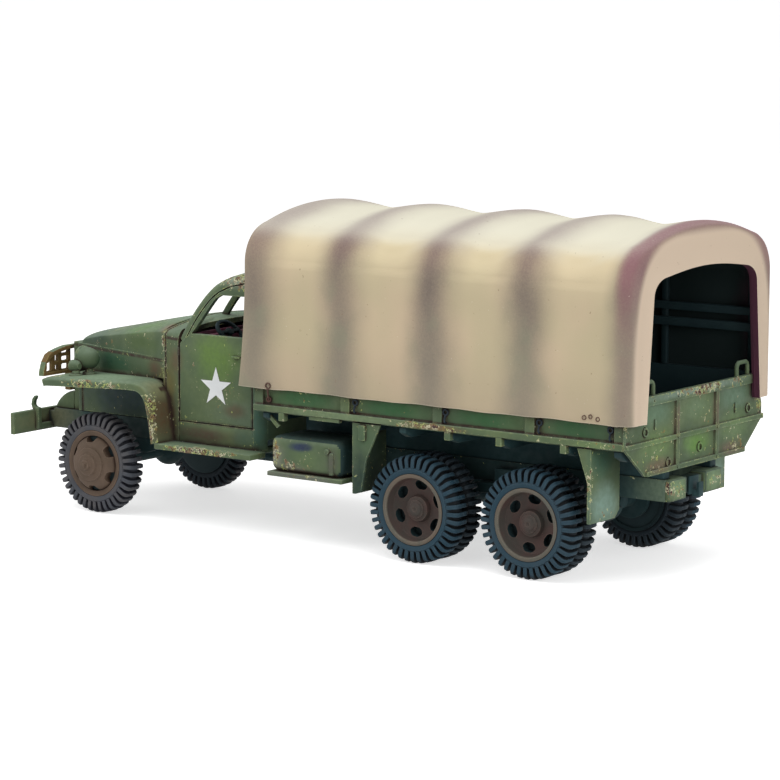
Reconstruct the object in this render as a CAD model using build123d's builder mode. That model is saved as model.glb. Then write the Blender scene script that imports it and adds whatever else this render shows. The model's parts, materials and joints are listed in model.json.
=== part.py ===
"""Six-wheel military cargo truck with a canvas-style cover, as a plastic scale model, in millimetres.

The truck faces -Y and its left side is +X.  The origin is on the ground, in the middle of its
length and width.
"""
import os
from math import cos, pi, sin

from build123d import *

os.makedirs("parts", exist_ok=True)

# ---------------------------------------------------------------- driving dimensions
HALF_LENGTH = 59.2                  # bumper front to cover rear is twice this
WALL = 0.9                          # moulded panels of the cab and fenders
SIDES = (("left", 1), ("right", -1))

# wheels
TYRE_R = 7.9
LUG_DEPTH = 0.6
LUGS = 22
RIM_R = 5.3                         # where the tyre sits on the rim
FRONT_AXLE_Y = -42.1
REAR_AXLE_Y = (("middle", 21.6), ("rear", 41.1))
FRONT_TYRE_X = (11.8, 15.2)
OUTER_TYRE_X = (14.7, 18.1)
INNER_TYRE_X = (11.1, 14.5)
PIN_R = 1.0
BORE_R = 1.05

# chassis
RAIL_X = (5.5, 7.5)
RAIL_Z = (11.4, 14.5)
RAIL_Y = (-57.3, 57.4)
BUMPER_HALF = 15.8
BUMPER_Z = (11.0, 14.5)

# bonnet, fenders and cab
NOSE_Y = -53.4
COWL_Y = -28.8
DOOR_Y = (-25.0, -10.5)
CAB_BACK_Y = -8.8
CAB_HALF = 14.5
CREASE_Z = 25.6                     # where the bonnet meets its side panels
NOSE_HALF = 6.9
COWL_HALF = 13.6
FENDER_HALF = 18.3
FENDER_TIP_Y = -49.9
BOARD_Z = (12.1, 13.0)              # running board
DOOR_Z = (16.2, 29.9)
ROOF_Z = (37.3, 40.0)

# load bed and cover
BED_Y = (-6.8, 57.5)
FLOOR_Z = (19.8, 20.8)
BED_TOP = 27.0
STAKE_X = 18.7
COVER_HALF = 19.6
COVER_Z = 23.56
COVER_TOP = 50.3
SPRING_Z = 42.0                     # where the cover's sides start to curve in
SHOULDER = (14.5, 48.0)
COVER_WALL = 0.9


# ---------------------------------------------------------------- shared shapes
def keep(piece, name):
    """Label a finished piece and write it."""
    piece.part.label = name
    export_step(piece.part, f"parts/{name}.step")


def block(x, y, z, mode=Mode.ADD):
    """A box between the low and high value of each axis."""
    with Locations(((x[0] + x[1]) / 2, (y[0] + y[1]) / 2, (z[0] + z[1]) / 2)):
        Box(x[1] - x[0], y[1] - y[0], z[1] - z[0], mode=mode)


def rod_x(radius, x, y, z, mode=Mode.ADD):
    """A round bar along X between the two values of x."""
    with BuildSketch(Plane((x[0], y, z), x_dir=(0, 1, 0), z_dir=(1, 0, 0))) as outline:
        Circle(radius)
    extrude(outline.sketch, amount=x[1] - x[0], mode=mode)


def rod_y(radius, x, y, z):
    """A round bar along Y between the two values of y."""
    with BuildSketch(Plane((x, y[0], z), x_dir=(1, 0, 0), z_dir=(0, 1, 0))) as outline:
        Circle(radius)
    extrude(outline.sketch, amount=y[1] - y[0])


def side_plate(points, x, mode=Mode.ADD):
    """A plate with the outline points (y, z), between the two values of x."""
    with BuildSketch(Plane((x[0], 0, 0), x_dir=(0, 1, 0), z_dir=(1, 0, 0))) as outline:
        with BuildLine():
            Polyline(*points, close=True)
        make_face()
    extrude(outline.sketch, amount=x[1] - x[0], mode=mode)


def cross_plate(points, y, mode=Mode.ADD):
    """A plate with the outline points (x, z), between the two values of y."""
    with BuildSketch(Plane((0, y[1], 0), x_dir=(1, 0, 0), z_dir=(0, -1, 0))) as outline:
        with BuildLine():
            Polyline(*points, close=True)
        make_face()
    extrude(outline.sketch, amount=y[1] - y[0], mode=mode)


def level_plate(points, z, mode=Mode.ADD):
    """A plate with the outline points (x, y), between the two values of z."""
    with BuildSketch(Plane.XY.offset(z[0])) as outline:
        with BuildLine():
            Polyline(*points, close=True)
        make_face()
    extrude(outline.sketch, amount=z[1] - z[0], mode=mode)


def cross_section(y):
    """The plane of a section across the truck, with x to the right and z up."""
    return Plane((0, y, 0), x_dir=(1, 0, 0), z_dir=(0, -1, 0))


# ---------------------------------------------------------------- chassis
CROSS_MEMBERS = (-50.0, -20.0, 2.0, 14.0, 31.3, 50.0, 56.4)

with BuildPart() as chassis_frame:
    block(RAIL_X, RAIL_Y, RAIL_Z)
    for y in CROSS_MEMBERS:
        block((-RAIL_X[0], RAIL_X[0]), (y - 1.0, y + 1.0), (RAIL_Z[0] + 0.5, RAIL_Z[1] - 0.5))
    # end block behind each rail, with its lower outer edge cut away
    cross_plate(((2.8, 11.4), (6.4, 11.4), (7.2, 12.2), (7.2, 14.4), (2.8, 14.4)), (55.4, 58.1))
    # bumper hanger in front of each rail
    block(RAIL_X, (-58.4, RAIL_Y[0]), (11.9, 14.0))
    mirror(about=Plane.YZ)
keep(chassis_frame, "chassis_frame")

with BuildPart() as front_bumper:
    block((-BUMPER_HALF, BUMPER_HALF), (-HALF_LENGTH, -58.4), BUMPER_Z)
keep(front_bumper, "front_bumper")

HOOK = ((-58.4, 11.4), (-58.4, 14.5), (-58.9, 14.5), (-59.2, 15.3), (-59.0, 16.2), (-58.5, 16.8), (-58.2, 16.5),
        (-58.6, 15.9), (-58.7, 15.3), (-58.4, 15.0), (-57.6, 14.8), (-57.6, 11.4))

with BuildPart() as tow_hooks:
    # each hook rises from a bracket behind the bumper and bows forward over it
    side_plate(HOOK, (10.1, 10.9))
    block((RAIL_X[1], 10.1), (-58.4, -57.6), (11.4, 12.3))
    mirror(about=Plane.YZ)
keep(tow_hooks, "tow_hooks")

with BuildPart() as tow_pintle:
    block((-1.3, 1.3), (57.4, 57.8), (11.6, 14.2))
    block((-0.6, 0.6), (57.8, 59.0), (11.3, 12.3))
    block((-0.6, 0.6), (58.5, 59.0), (12.3, 13.4))
keep(tow_pintle, "tow_pintle")

# ---------------------------------------------------------------- axles, springs and drive line
DIFF_X = -3.2
DIFF_R = 2.6
SHAFT_Z = 8.6
FRONT_SPRING_X = (5.9, 7.3)
REAR_SPRING_X = (7.5, 9.0)

with BuildPart() as front_axle:
    rod_x(1.1, (-10.9, 10.9), FRONT_AXLE_Y, TYRE_R)
    rod_x(PIN_R, (-14.2, 14.2), FRONT_AXLE_Y, TYRE_R)
    for x in ((9.2, 10.9), (-10.9, -9.2)):
        rod_x(1.9, x, FRONT_AXLE_Y, TYRE_R)
    with Locations((DIFF_X, FRONT_AXLE_Y, TYRE_R)):
        Sphere(DIFF_R)
    rod_y(1.0, DIFF_X, (FRONT_AXLE_Y, FRONT_AXLE_Y + 3.2), SHAFT_Z)
    for x in (FRONT_SPRING_X, (-FRONT_SPRING_X[1], -FRONT_SPRING_X[0])):
        block(x, (FRONT_AXLE_Y - 1.2, FRONT_AXLE_Y + 1.2), (TYRE_R, 9.0))
keep(front_axle, "front_axle")

with BuildPart() as rear_axles:
    for name, y in REAR_AXLE_Y:
        rod_x(1.3, (-10.5, 10.5), y, TYRE_R)
        rod_x(PIN_R, (-15.0, 15.0), y, TYRE_R)
        for x in ((9.8, 10.5), (-10.5, -9.8)):
            rod_x(3.2, x, y, TYRE_R)
        with Locations((DIFF_X, y, TYRE_R)):
            Sphere(DIFF_R)
        rod_y(1.0, DIFF_X, (y - 3.2, y + 3.2), SHAFT_Z)
        for x in (REAR_SPRING_X, (-REAR_SPRING_X[1], -REAR_SPRING_X[0])):
            block(x, (y - 1.2, y + 1.2), (TYRE_R, 9.2))
keep(rear_axles, "rear_axles")

# solid up to the rail, as moulded
FRONT_SPRING = ((-52.0, 11.4), (-30.0, 11.4), (-38.0, 9.0), (-44.0, 9.0))
REAR_SPRING = ((19.1, 9.2), (20.1, 10.0), (28.1, 11.4), (29.8, 11.4), (29.8, 13.6), (32.9, 13.6), (32.9, 11.4),
               (34.6, 11.4), (42.6, 10.0), (43.6, 9.2), (39.1, 9.2), (34.6, 9.9), (28.1, 9.9), (23.6, 9.2))

with BuildPart() as leaf_springs:
    side_plate(FRONT_SPRING, FRONT_SPRING_X)
    side_plate(REAR_SPRING, REAR_SPRING_X)
    mirror(about=Plane.YZ)
keep(leaf_springs, "leaf_springs")

with BuildPart() as drive_line:
    # transfer case under a cross member, with a shaft to each axle
    block((-5.3, 1.0), (-3.0, 4.5), (7.0, 11.9))
    for y0, y1 in ((FRONT_AXLE_Y + 3.2, -3.0), (4.5, REAR_AXLE_Y[0][1] - 3.2),
                   (REAR_AXLE_Y[0][1] + 3.2, REAR_AXLE_Y[1][1] - 3.2)):
        rod_y(0.7, DIFF_X, (y0, y1), SHAFT_Z)
keep(drive_line, "drive_line")

with BuildPart() as engine_and_gearbox:
    block((-4.2, 4.2), (-48.5, -30.5), (14.5, 22.5))
    block((-2.4, 2.4), (-46.0, -32.0), (11.2, 14.5))
    block((-2.6, 2.6), (-30.5, COWL_Y), (14.5, 19.0))
    block((-6.0, 6.0), (-42.0, -40.0), (14.5, 15.5))
keep(engine_and_gearbox, "engine_and_gearbox")

# ---------------------------------------------------------------- front end
with BuildPart() as front_apron:
    with BuildSketch(Plane((-7.0, 0, 0), x_dir=(0, 1, 0), z_dir=(1, 0, 0))):
        with BuildLine():
            ThreePointArc((-57.3, 14.9), (-55.7, 16.7), (NOSE_Y, 17.6))
            Polyline((NOSE_Y, 17.6), (NOSE_Y, 14.5), (-57.3, 14.5), (-57.3, 14.9))
        make_face()
    extrude(amount=14.0)
keep(front_apron, "front_apron")

GRILLE_SLOTS = 9

with BuildPart() as radiator_grille:
    block((-NOSE_HALF, NOSE_HALF), (NOSE_Y, -52.2), (14.5, CREASE_Z))
    for i in range(GRILLE_SLOTS):
        x = (i - (GRILLE_SLOTS - 1) / 2) * 1.35
        block((x - 0.35, x + 0.35), (NOSE_Y, NOSE_Y + 0.7), (18.2, 24.8), mode=Mode.SUBTRACT)
keep(radiator_grille, "radiator_grille")

# openings of the brush guard, one side: low x, high x, low z, high z
GUARD_HOLES = ((0.3, 2.1, 18.4, 20.7), (0.3, 2.1, 21.2, 24.5), (2.6, 4.4, 18.4, 20.7), (2.6, 4.4, 21.2, 24.5),
               (4.9, 6.7, 18.4, 20.7), (4.9, 6.7, 21.2, 24.5), (7.2, 8.9, 21.2, 22.1), (7.2, 8.9, 22.6, 23.3),
               (7.2, 8.9, 23.8, 24.3), (9.7, 10.4, 21.2, 22.1), (9.7, 10.4, 22.6, 23.8), (11.2, 12.9, 21.2, 22.7))
GUARD_Y = (-54.85, -54.3)
GUARD_RIM_Y = (-54.3, -53.8)
GUARD = ((0, 17.7), (7.5, 17.7), (7.5, 20.6), (13.7, 20.6), (13.6, 21.4), (13.1, 22.8), (12.3, 23.9), (11.4, 24.3),
         (9.8, 24.7), (7.9, 25.0), (0, 25.1))
GUARD_INSIDE = ((0, 18.3), (6.9, 18.3), (6.9, 21.1), (13.1, 21.1), (12.6, 22.5), (11.9, 23.4), (9.6, 24.1),
                (7.8, 24.4), (0, 24.5))

with BuildPart() as brush_guard:
    cross_plate(GUARD, GUARD_Y)
    cross_plate(GUARD, GUARD_RIM_Y)
    cross_plate(GUARD_INSIDE, GUARD_RIM_Y, mode=Mode.SUBTRACT)
    for x0, x1, z0, z1 in GUARD_HOLES:
        block((x0, x1), GUARD_Y, (z0, z1), mode=Mode.SUBTRACT)
    for z in (18.0, 24.8):
        block((6.0, 6.6), (GUARD_RIM_Y[1], NOSE_Y), (z - 0.3, z + 0.3))
    mirror(about=Plane.YZ)
keep(brush_guard, "brush_guard")

# sections of the bonnet from nose to cowl: y, half width, height of its side, crest height
BONNET = ((NOSE_Y, 6.9, 26.0, 26.6), (-51.2, 7.5, 26.4, 27.2), (-44.5, 9.3, 27.3, 28.5), (-35.0, 11.9, 28.7, 30.4),
          (COWL_Y, COWL_HALF, 29.5, 31.2))


def arched_outline(half, side, crest, floor):
    """Closed cross-section of the bonnet or the cowl: upright sides under a low arch."""
    with BuildLine() as outline:
        ThreePointArc((-half, side), (0, crest), (half, side))
        Polyline((half, side), (half, floor), (-half, floor), (-half, side))
    make_face(outline.line)


with BuildPart() as hood:
    for y, half, side, crest in BONNET:
        with BuildSketch(cross_section(y)):
            arched_outline(half, side, crest, CREASE_Z)
    loft(ruled=True)
    for y, half, side, crest in BONNET[1:]:
        with BuildSketch(cross_section(y)):
            arched_outline(half - WALL, side - 0.6, crest - WALL, CREASE_Z)
    loft(ruled=True, mode=Mode.SUBTRACT)
keep(hood, "hood")


def fender_top(y):
    """Height of the fender's upper face at y."""
    return 21.2 + (y - FENDER_TIP_Y) / 19.5


with BuildPart() as hood_side_left:
    level_plate(((6.2, -52.2), (7.23, -52.2), (COWL_HALF, COWL_Y), (COWL_HALF - 0.9, COWL_Y)), (20.0, CREASE_Z))
    side_plate(((-60, 18), (-60, fender_top(-60)), (-20, fender_top(-20)), (-20, 18)), (0, 20),
               mode=Mode.SUBTRACT)

with BuildPart() as hood_side_right:
    mirror(hood_side_left.part, about=Plane.YZ)

keep(hood_side_left, "hood_side_left")
keep(hood_side_right, "hood_side_right")

FENDER_DROP = ((-27.1, 19.4), (-26.2, BOARD_Z[1]))      # rear face, top and bottom


def fender_profile(x, thick):
    """The fender's bent section from its tip to the running board, between two values of x."""
    with BuildSketch(Plane((x[0], 0, 0), x_dir=(0, 1, 0), z_dir=(1, 0, 0))) as outline:
        with BuildLine():
            Line((FENDER_TIP_Y, fender_top(FENDER_TIP_Y)), (-30.4, fender_top(-30.4)))
            ThreePointArc((-30.4, fender_top(-30.4)), (-28.2, 21.3), FENDER_DROP[0])
            Polyline(FENDER_DROP[0], FENDER_DROP[1], (FENDER_DROP[1][0] - thick, BOARD_Z[1]),
                     (FENDER_DROP[0][0] - thick, 19.4))
            ThreePointArc((FENDER_DROP[0][0] - thick, 19.4), (-28.9 - 0.7 * (thick - 0.9), 20.6 - 0.7 * (thick - 0.9)),
                          (-30.4, fender_top(-30.4) - thick))
            Polyline((-30.4, fender_top(-30.4) - thick), (FENDER_TIP_Y, fender_top(FENDER_TIP_Y) - thick),
                     (FENDER_TIP_Y, fender_top(FENDER_TIP_Y)))
        make_face()
    extrude(outline.sketch, amount=x[1] - x[0])


with BuildPart() as fender_left:
    fender_profile((6.7, FENDER_HALF - 0.7), WALL)
    fender_profile((FENDER_HALF - 0.7, FENDER_HALF), 1.3)
    # the part inside the cab's width ends at the cowl
    block((0, CAB_HALF), (COWL_Y, 0), (0, 30), mode=Mode.SUBTRACT)
    # inner panel standing on the rail
    side_plate(((-51.5, 14.5), (-51.5, 19.6), (FENDER_TIP_Y, fender_top(FENDER_TIP_Y) - WALL),
                (COWL_Y, fender_top(COWL_Y) - WALL), (COWL_Y, 14.5)), (6.7, 7.5))

with BuildPart() as fender_right:
    mirror(fender_left.part, about=Plane.YZ)

keep(fender_left, "fender_left")
keep(fender_right, "fender_right")

with BuildPart() as headlamps:
    with Locations((11.9, -45.6, 23.9)):
        Sphere(1.8)
    side_plate(((-46.1, fender_top(-46.1)), (-45.1, fender_top(-45.1)), (-45.1, 23.0), (-46.1, 23.0)),
               (11.4, 12.4))
    # the small lamp outboard of each headlamp
    rod_y(0.9, 14.6, (-48.0, -46.2), 23.1)
    side_plate(((-47.3, fender_top(-47.3)), (-46.6, fender_top(-46.6)), (-46.6, 22.9), (-47.3, 22.9)),
               (14.2, 15.0))
    mirror(about=Plane.YZ)
keep(headlamps, "headlamps")

with BuildPart() as running_boards:
    block((CAB_HALF, FENDER_HALF), (-26.9, -8.0), BOARD_Z)
    block((RAIL_X[1], CAB_HALF), (-20.5, -19.5), BOARD_Z)
    block((RAIL_X[1], CAB_HALF), (-11.5, -10.5), BOARD_Z)
    mirror(about=Plane.YZ)
keep(running_boards, "running_boards")

# ---------------------------------------------------------------- cab
# the cowl's outline at its front and back: y, half width, side height, crest height
COWL = ((COWL_Y, 13.9, 29.3, 31.4), (DOOR_Y[0], CAB_HALF, 29.6, 30.6))
SCREEN_FOOT = (-28.4, -24.2)        # y at the middle and at the pillars
SCREEN_RISE = (30.2, ROOF_Z[0])      # z at foot and head
SCREEN_LEAN = 5.2                   # how far the head stands behind the foot
SCREEN_THICK = 1.2


with BuildPart() as cowl:
    for y, half, side, crest in COWL:
        with BuildSketch(cross_section(y)):
            arched_outline(half, side, crest, BOARD_Z[1])
    loft(ruled=True)
    for y, half, side, crest in COWL:
        with BuildSketch(cross_section(y + WALL)):
            arched_outline(half - WALL, side - 0.6, crest - WALL, 0)
    loft(ruled=True, mode=Mode.SUBTRACT)
    # the firewall stands on the rails
    block((-13.0, 13.0), (COWL_Y, DOOR_Y[0]), (BOARD_Z[1], RAIL_Z[1]), mode=Mode.SUBTRACT)
keep(cowl, "cowl")

with BuildPart() as windscreen_frame:
    for z, back in ((SCREEN_RISE[0], 0), (SCREEN_RISE[1], SCREEN_LEAN)):
        mid, end = SCREEN_FOOT[0] + back, SCREEN_FOOT[1] + back
        with BuildSketch(Plane.XY.offset(z)):
            with BuildLine():
                Polyline((-CAB_HALF, end), (0, mid), (CAB_HALF, end), (CAB_HALF, end + SCREEN_THICK),
                         (0, mid + SCREEN_THICK), (-CAB_HALF, end + SCREEN_THICK), close=True)
            make_face()
    loft(ruled=True)
    for x in ((0.5, 13.2), (-13.2, -0.5)):
        block(x, (-30, -10), (31.0, 37.0), mode=Mode.SUBTRACT)
    for y, half, side, crest in COWL:
        with BuildSketch(cross_section(y)):
            arched_outline(half, side, crest, 20)
    loft(ruled=True, mode=Mode.SUBTRACT)
keep(windscreen_frame, "windscreen_frame")

DOOR_SLOPE = SCREEN_FOOT[1] + SCREEN_THICK       # y where the sloping front edge of the door starts
WINDOW = ((-22.1, DOOR_Z[1]), (-17.0, 36.2), (-11.4, 36.2), (-11.4, DOOR_Z[1]))
DOOR = ((DOOR_Y[0], DOOR_Z[0]), (DOOR_Y[1], DOOR_Z[0]), (DOOR_Y[1], ROOF_Z[0]),
        (DOOR_SLOPE + SCREEN_LEAN, ROOF_Z[0]), (DOOR_SLOPE, SCREEN_RISE[0]), (DOOR_Y[0], SCREEN_RISE[0] - 0.6))

with BuildPart() as door_left:
    side_plate(DOOR, (CAB_HALF - WALL, CAB_HALF))
    side_plate(WINDOW, (CAB_HALF - WALL, CAB_HALF), mode=Mode.SUBTRACT)

with BuildPart() as door_right:
    mirror(door_left.part, about=Plane.YZ)

keep(door_left, "door_left")
keep(door_right, "door_right")

with BuildPart() as cab_back:
    block((-CAB_HALF, CAB_HALF), (DOOR_Y[1], CAB_BACK_Y), (BOARD_Z[1], ROOF_Z[0]))
    fillet(cab_back.part.edges().filter_by(Axis.Z).group_by(Axis.Y)[-1], 1.6)
    block((-CAB_HALF + WALL, CAB_HALF - WALL), (DOOR_Y[1], CAB_BACK_Y - WALL), (0, 50), mode=Mode.SUBTRACT)
    block((-4.5, 4.5), (-12, 0), (31.0, 35.4), mode=Mode.SUBTRACT)
    block((-13.0, 13.0), (-12, 0), (BOARD_Z[1], RAIL_Z[1]), mode=Mode.SUBTRACT)
keep(cab_back, "cab_back")

# the roof's section at three places across: x, y of its front edge, height of its crown
ROOF = ((-CAB_HALF, SCREEN_FOOT[1] + SCREEN_LEAN, ROOF_Z[1] - 0.5), (0, SCREEN_FOOT[0] + SCREEN_LEAN, ROOF_Z[1]),
        (CAB_HALF, SCREEN_FOOT[1] + SCREEN_LEAN, ROOF_Z[1] - 0.5))


def roof_section(x, front, back, crown, foot):
    """Side view of the roof at x, rising in a curve from its front edge to the crown at its back."""
    with BuildSketch(Plane((x, 0, 0), x_dir=(0, 1, 0), z_dir=(1, 0, 0))) as outline:
        with BuildLine():
            ThreePointArc((front, foot), (0.67 * front + 0.33 * back, foot + 0.72 * (crown - foot)), (back, crown))
            Polyline((back, crown), (back, foot), (front, foot))
        make_face()
    return outline.sketch


with BuildPart() as cab_roof:
    loft([roof_section(x, front, CAB_BACK_Y, crown, ROOF_Z[0]) for x, front, crown in ROOF], ruled=True)
    fillet(cab_roof.part.edges().filter_by(GeomType.CIRCLE).group_by(Axis.X)[0], 1.2)
    fillet(cab_roof.part.edges().filter_by(GeomType.CIRCLE).group_by(Axis.X)[-1], 1.2)
    with BuildPart(mode=Mode.SUBTRACT):
        loft([roof_section(x * 0.93, front + 1.4, CAB_BACK_Y - WALL, crown - WALL, ROOF_Z[0] - 0.5)
              for x, front, crown in ROOF], ruled=True)
keep(cab_roof, "cab_roof")

with BuildPart() as cab_floor:
    level_plate(((-12.9, COWL_Y + WALL), (12.9, COWL_Y + WALL), (13.6, DOOR_Y[0] + WALL), (13.6, DOOR_Y[1]),
                 (-13.6, DOOR_Y[1]), (-13.6, DOOR_Y[0] + WALL)), (14.5, 15.5))
    # sill under each door
    for x in ((13.6, CAB_HALF), (-CAB_HALF, -13.6)):
        block(x, DOOR_Y, (BOARD_Z[1], DOOR_Z[0]))
keep(cab_floor, "cab_floor")

COLUMN_X = 7.0
COLUMN = Plane((COLUMN_X, -24.2, 25.9), x_dir=(1, 0, 0), z_dir=(0, 0.66, 0.75))

with BuildPart() as dashboard:
    block((-13.6, 13.6), (-25.0, -23.6), (25.0, 29.0))
    with BuildSketch(COLUMN):
        Circle(0.45)
    extrude(amount=4.6)
keep(dashboard, "dashboard")

with BuildPart() as steering_wheel:
    with BuildSketch(COLUMN.offset(4.6)):
        Circle(2.45)
        Circle(1.95, mode=Mode.SUBTRACT)
        Rectangle(4.4, 0.5)
        Circle(0.7)
    extrude(amount=0.5)
keep(steering_wheel, "steering_wheel")

with BuildPart() as seat:
    block((-12.4, 12.4), (-18.5, -9.7), (15.5, 18.4))
    block((-12.8, 12.8), (-18.9, -9.7), (18.4, 20.8))
    block((-12.8, 12.8), (-12.0, -9.7), (20.8, 28.4))
keep(seat, "seat")

# ---------------------------------------------------------------- load bed
BEARERS = (-5.0, 12.5, 20.0, 28.3, 37.1, 47.8, 56.2)

with BuildPart() as bed_floor:
    block((-17.7, 17.7), (-5.9, BED_Y[1]), FLOOR_Z)
    for x in ((5.7, 7.3), (-7.3, -5.7)):
        block(x, (-5.9, BED_Y[1] - 0.4), (RAIL_Z[1], 18.2))
    for y in BEARERS:
        cross_plate(((-18.2, 19.8), (-18.2, 19.0), (-16.6, 18.2), (16.6, 18.2), (18.2, 19.0), (18.2, 19.8)),
                    (y - 0.6, y + 0.6))
keep(bed_floor, "bed_floor")

with BuildPart() as bed_front:
    block((-17.7, 17.7), (BED_Y[0], -5.9), (FLOOR_Z[0], BED_TOP + 4.0))
keep(bed_front, "bed_front")

STAKES = (-6.0, 10.0, 26.4, 42.1, 56.7)
SILL_Z = (20.05, 21.0)              # rail along the foot of each bed side

with BuildPart() as bed_side_left:
    block((17.7, 18.2), BED_Y, (FLOOR_Z[0], BED_TOP))
    block((18.2, 19.0), BED_Y, SILL_Z)
    block((18.2, STAKE_X), BED_Y, (26.0, BED_TOP))
    for y in STAKES:
        block((18.2, STAKE_X), (y - 0.8, y + 0.8), (21.0, 26.0))

with BuildPart() as bed_side_right:
    mirror(bed_side_left.part, about=Plane.YZ)

keep(bed_side_left, "bed_side_left")
keep(bed_side_right, "bed_side_right")

TAILGATE = ((-13.7, 15.9), (13.7, 15.9), (19.0, 20.2), (19.0, 22.4), (18.6, 23.5), (18.6, BED_TOP),
            (-18.6, BED_TOP), (-18.6, 23.5), (-19.0, 22.4), (-19.0, 20.2))
RIB_Y = (57.9, 58.3)

with BuildPart() as tailgate:
    cross_plate(TAILGATE, (57.5, RIB_Y[0]))
    for x in (-5.5, 5.5):
        block((x - 0.4, x + 0.4), RIB_Y, (15.9, BED_TOP))
    for half, z0, z1 in ((18.6, 25.7, BED_TOP), (18.9, 20.2, 20.9), (13.6, 15.9, 16.6)):
        block((-half, half), RIB_Y, (z0, z1))
    # two grab handles standing on the top edge
    for x in (-13.2, 13.2):
        block((x - 1.9, x + 1.9), (57.5, 58.1), (BED_TOP, 29.3))
        block((x - 1.4, x + 1.4), (57, 59), (BED_TOP, 28.7), mode=Mode.SUBTRACT)
keep(tailgate, "tailgate")

# ---------------------------------------------------------------- cover, bows and racks


def arch(side_inset, crown_inset, foot):
    """Closed section of the cover, set in from its largest size and cut level at the foot."""
    half = COVER_HALF - side_inset
    spring = (half, SPRING_Z - 0.5 * crown_inset)
    shoulder = (SHOULDER[0] - 0.6 * side_inset, SHOULDER[1] - crown_inset)
    crown = (0, COVER_TOP - crown_inset)
    with BuildLine() as outline:
        Line((half, foot), spring)
        TangentArc(spring, shoulder, tangent=(0, 1))
        ThreePointArc(shoulder, crown, (-shoulder[0], shoulder[1]))
        TangentArc((-spring[0], spring[1]), (-shoulder[0], shoulder[1]), tangent=(0, 1))
        Polyline((-spring[0], spring[1]), (-half, foot), (half, foot))
    make_face(outline.line)


# stations of the cover from front to rear: y, how far its sides and its crown stand in
STATIONS = ((-8.4, 0.2, 1.4), (-6.8, 0, 0), (1.6, 0.3, 0.6), (10.0, 0, 0), (18.3, 0.3, 0.6), (26.6, 0, 0),
            (34.3, 0.3, 0.6), (42.0, 0, 0), (49.5, 0.3, 0.6), (56.9, 0, 0), (HALF_LENGTH, 0.1, 0.8))

with BuildPart() as canopy:
    for y, side_inset, crown_inset in STATIONS:
        with BuildSketch(cross_section(y)):
            arch(side_inset, crown_inset, COVER_Z)
    loft(ruled=True)
    with BuildSketch(cross_section(HALF_LENGTH - 0.8)):
        arch(COVER_WALL, 1.5, COVER_Z - 1)
    extrude(amount=66.0, mode=Mode.SUBTRACT)
    # rear arch
    with BuildSketch(cross_section(HALF_LENGTH + 1)):
        with BuildLine():
            Polyline((-14.2, 41.0), (-15.9, 22), (15.9, 22), (14.2, 41.0))
            ThreePointArc((14.2, 41.0), (13.2, 42.7), (11.0, 43.4))
            ThreePointArc((11.0, 43.4), (0, 44.2), (-11.0, 43.4))
            ThreePointArc((-11.0, 43.4), (-13.2, 42.7), (-14.2, 41.0))
        make_face()
    extrude(amount=3.0, mode=Mode.SUBTRACT)
keep(canopy, "canopy")

BOW_STATIONS = (-5.2, 10.0, 26.6, 42.0, 56.6)

with BuildPart() as canopy_bows:
    for y in BOW_STATIONS:
        with BuildSketch(cross_section(y + 0.5)):
            arch(1.2, 1.8, BED_TOP)
        extrude(amount=1.0)
    with BuildSketch(cross_section(60)):
        arch(2.0, 2.6, BED_TOP - 1)
    extrude(amount=80, mode=Mode.SUBTRACT)
keep(canopy_bows, "canopy_bows")

with BuildPart() as side_racks:
    for slat_z in ((32.9, 34.2), (35.3, 36.5)):
        block((17.0, 17.6), (BOW_STATIONS[0] - 0.5, BOW_STATIONS[-1] + 0.5), slat_z)
    mirror(about=Plane.YZ)
keep(side_racks, "side_racks")

# ---------------------------------------------------------------- under the bed
BOX_Y = (-4.5, 8.8)
BOX_Z = (11.0, 16.4)

with BuildPart() as toolboxes:
    block((9.5, 18.0), BOX_Y, BOX_Z)
    fillet(toolboxes.part.edges().filter_by(Axis.Y).group_by(Axis.X)[-1], 0.8)
    mirror(about=Plane.YZ)
keep(toolboxes, "toolboxes")

with BuildPart() as box_shelves:
    block((RAIL_X[1], 18.3), (BOX_Y[0] - 0.3, BOX_Y[1] + 0.3), (10.3, BOX_Z[0]))
    block((RAIL_X[1], 9.5), (BOX_Y[0] - 0.3, BOX_Y[1] + 0.3), (BOX_Z[0], 14.4))
    mirror(about=Plane.YZ)
keep(box_shelves, "box_shelves")

FLAP_Y = (11.3, 51.6)
FRONT_GUSSET = ((11.9, 9.4), (12.9, 9.6), (13.8, 14.6), (16.3, FLOOR_Z[0]), (11.9, FLOOR_Z[0]))
REAR_GUSSET = ((51.6, FLOOR_Z[0]), (49.9, FLOOR_Z[0]), (51.6, 15.0))

with BuildPart() as mudflaps:
    for y in FLAP_Y:
        cross_plate(((11.0, FLOOR_Z[0]), (11.0, 10.4), (12.2, 9.3), (18.6, 9.3), (18.6, FLOOR_Z[0])), (y, y + 0.6))
    for outline in (FRONT_GUSSET, REAR_GUSSET):
        side_plate(outline, (18.2, 18.6))
    mirror(about=Plane.YZ)
keep(mudflaps, "mudflaps")

# ---------------------------------------------------------------- wheels


def lug_ring(plane, scale):
    """Outline of a tyre with its lugs, in a plane across the axle."""
    points = []
    for i in range(LUGS):
        for part, radius in ((0.0, TYRE_R), (0.5, TYRE_R), (0.6, TYRE_R - LUG_DEPTH), (0.9, TYRE_R - LUG_DEPTH)):
            angle = 2 * pi * (i + part) / LUGS
            points.append((scale * radius * cos(angle), scale * radius * sin(angle)))
    with BuildSketch(plane) as outline:
        with BuildLine():
            Polyline(*points, close=True)
        make_face()
    return outline.sketch


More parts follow.
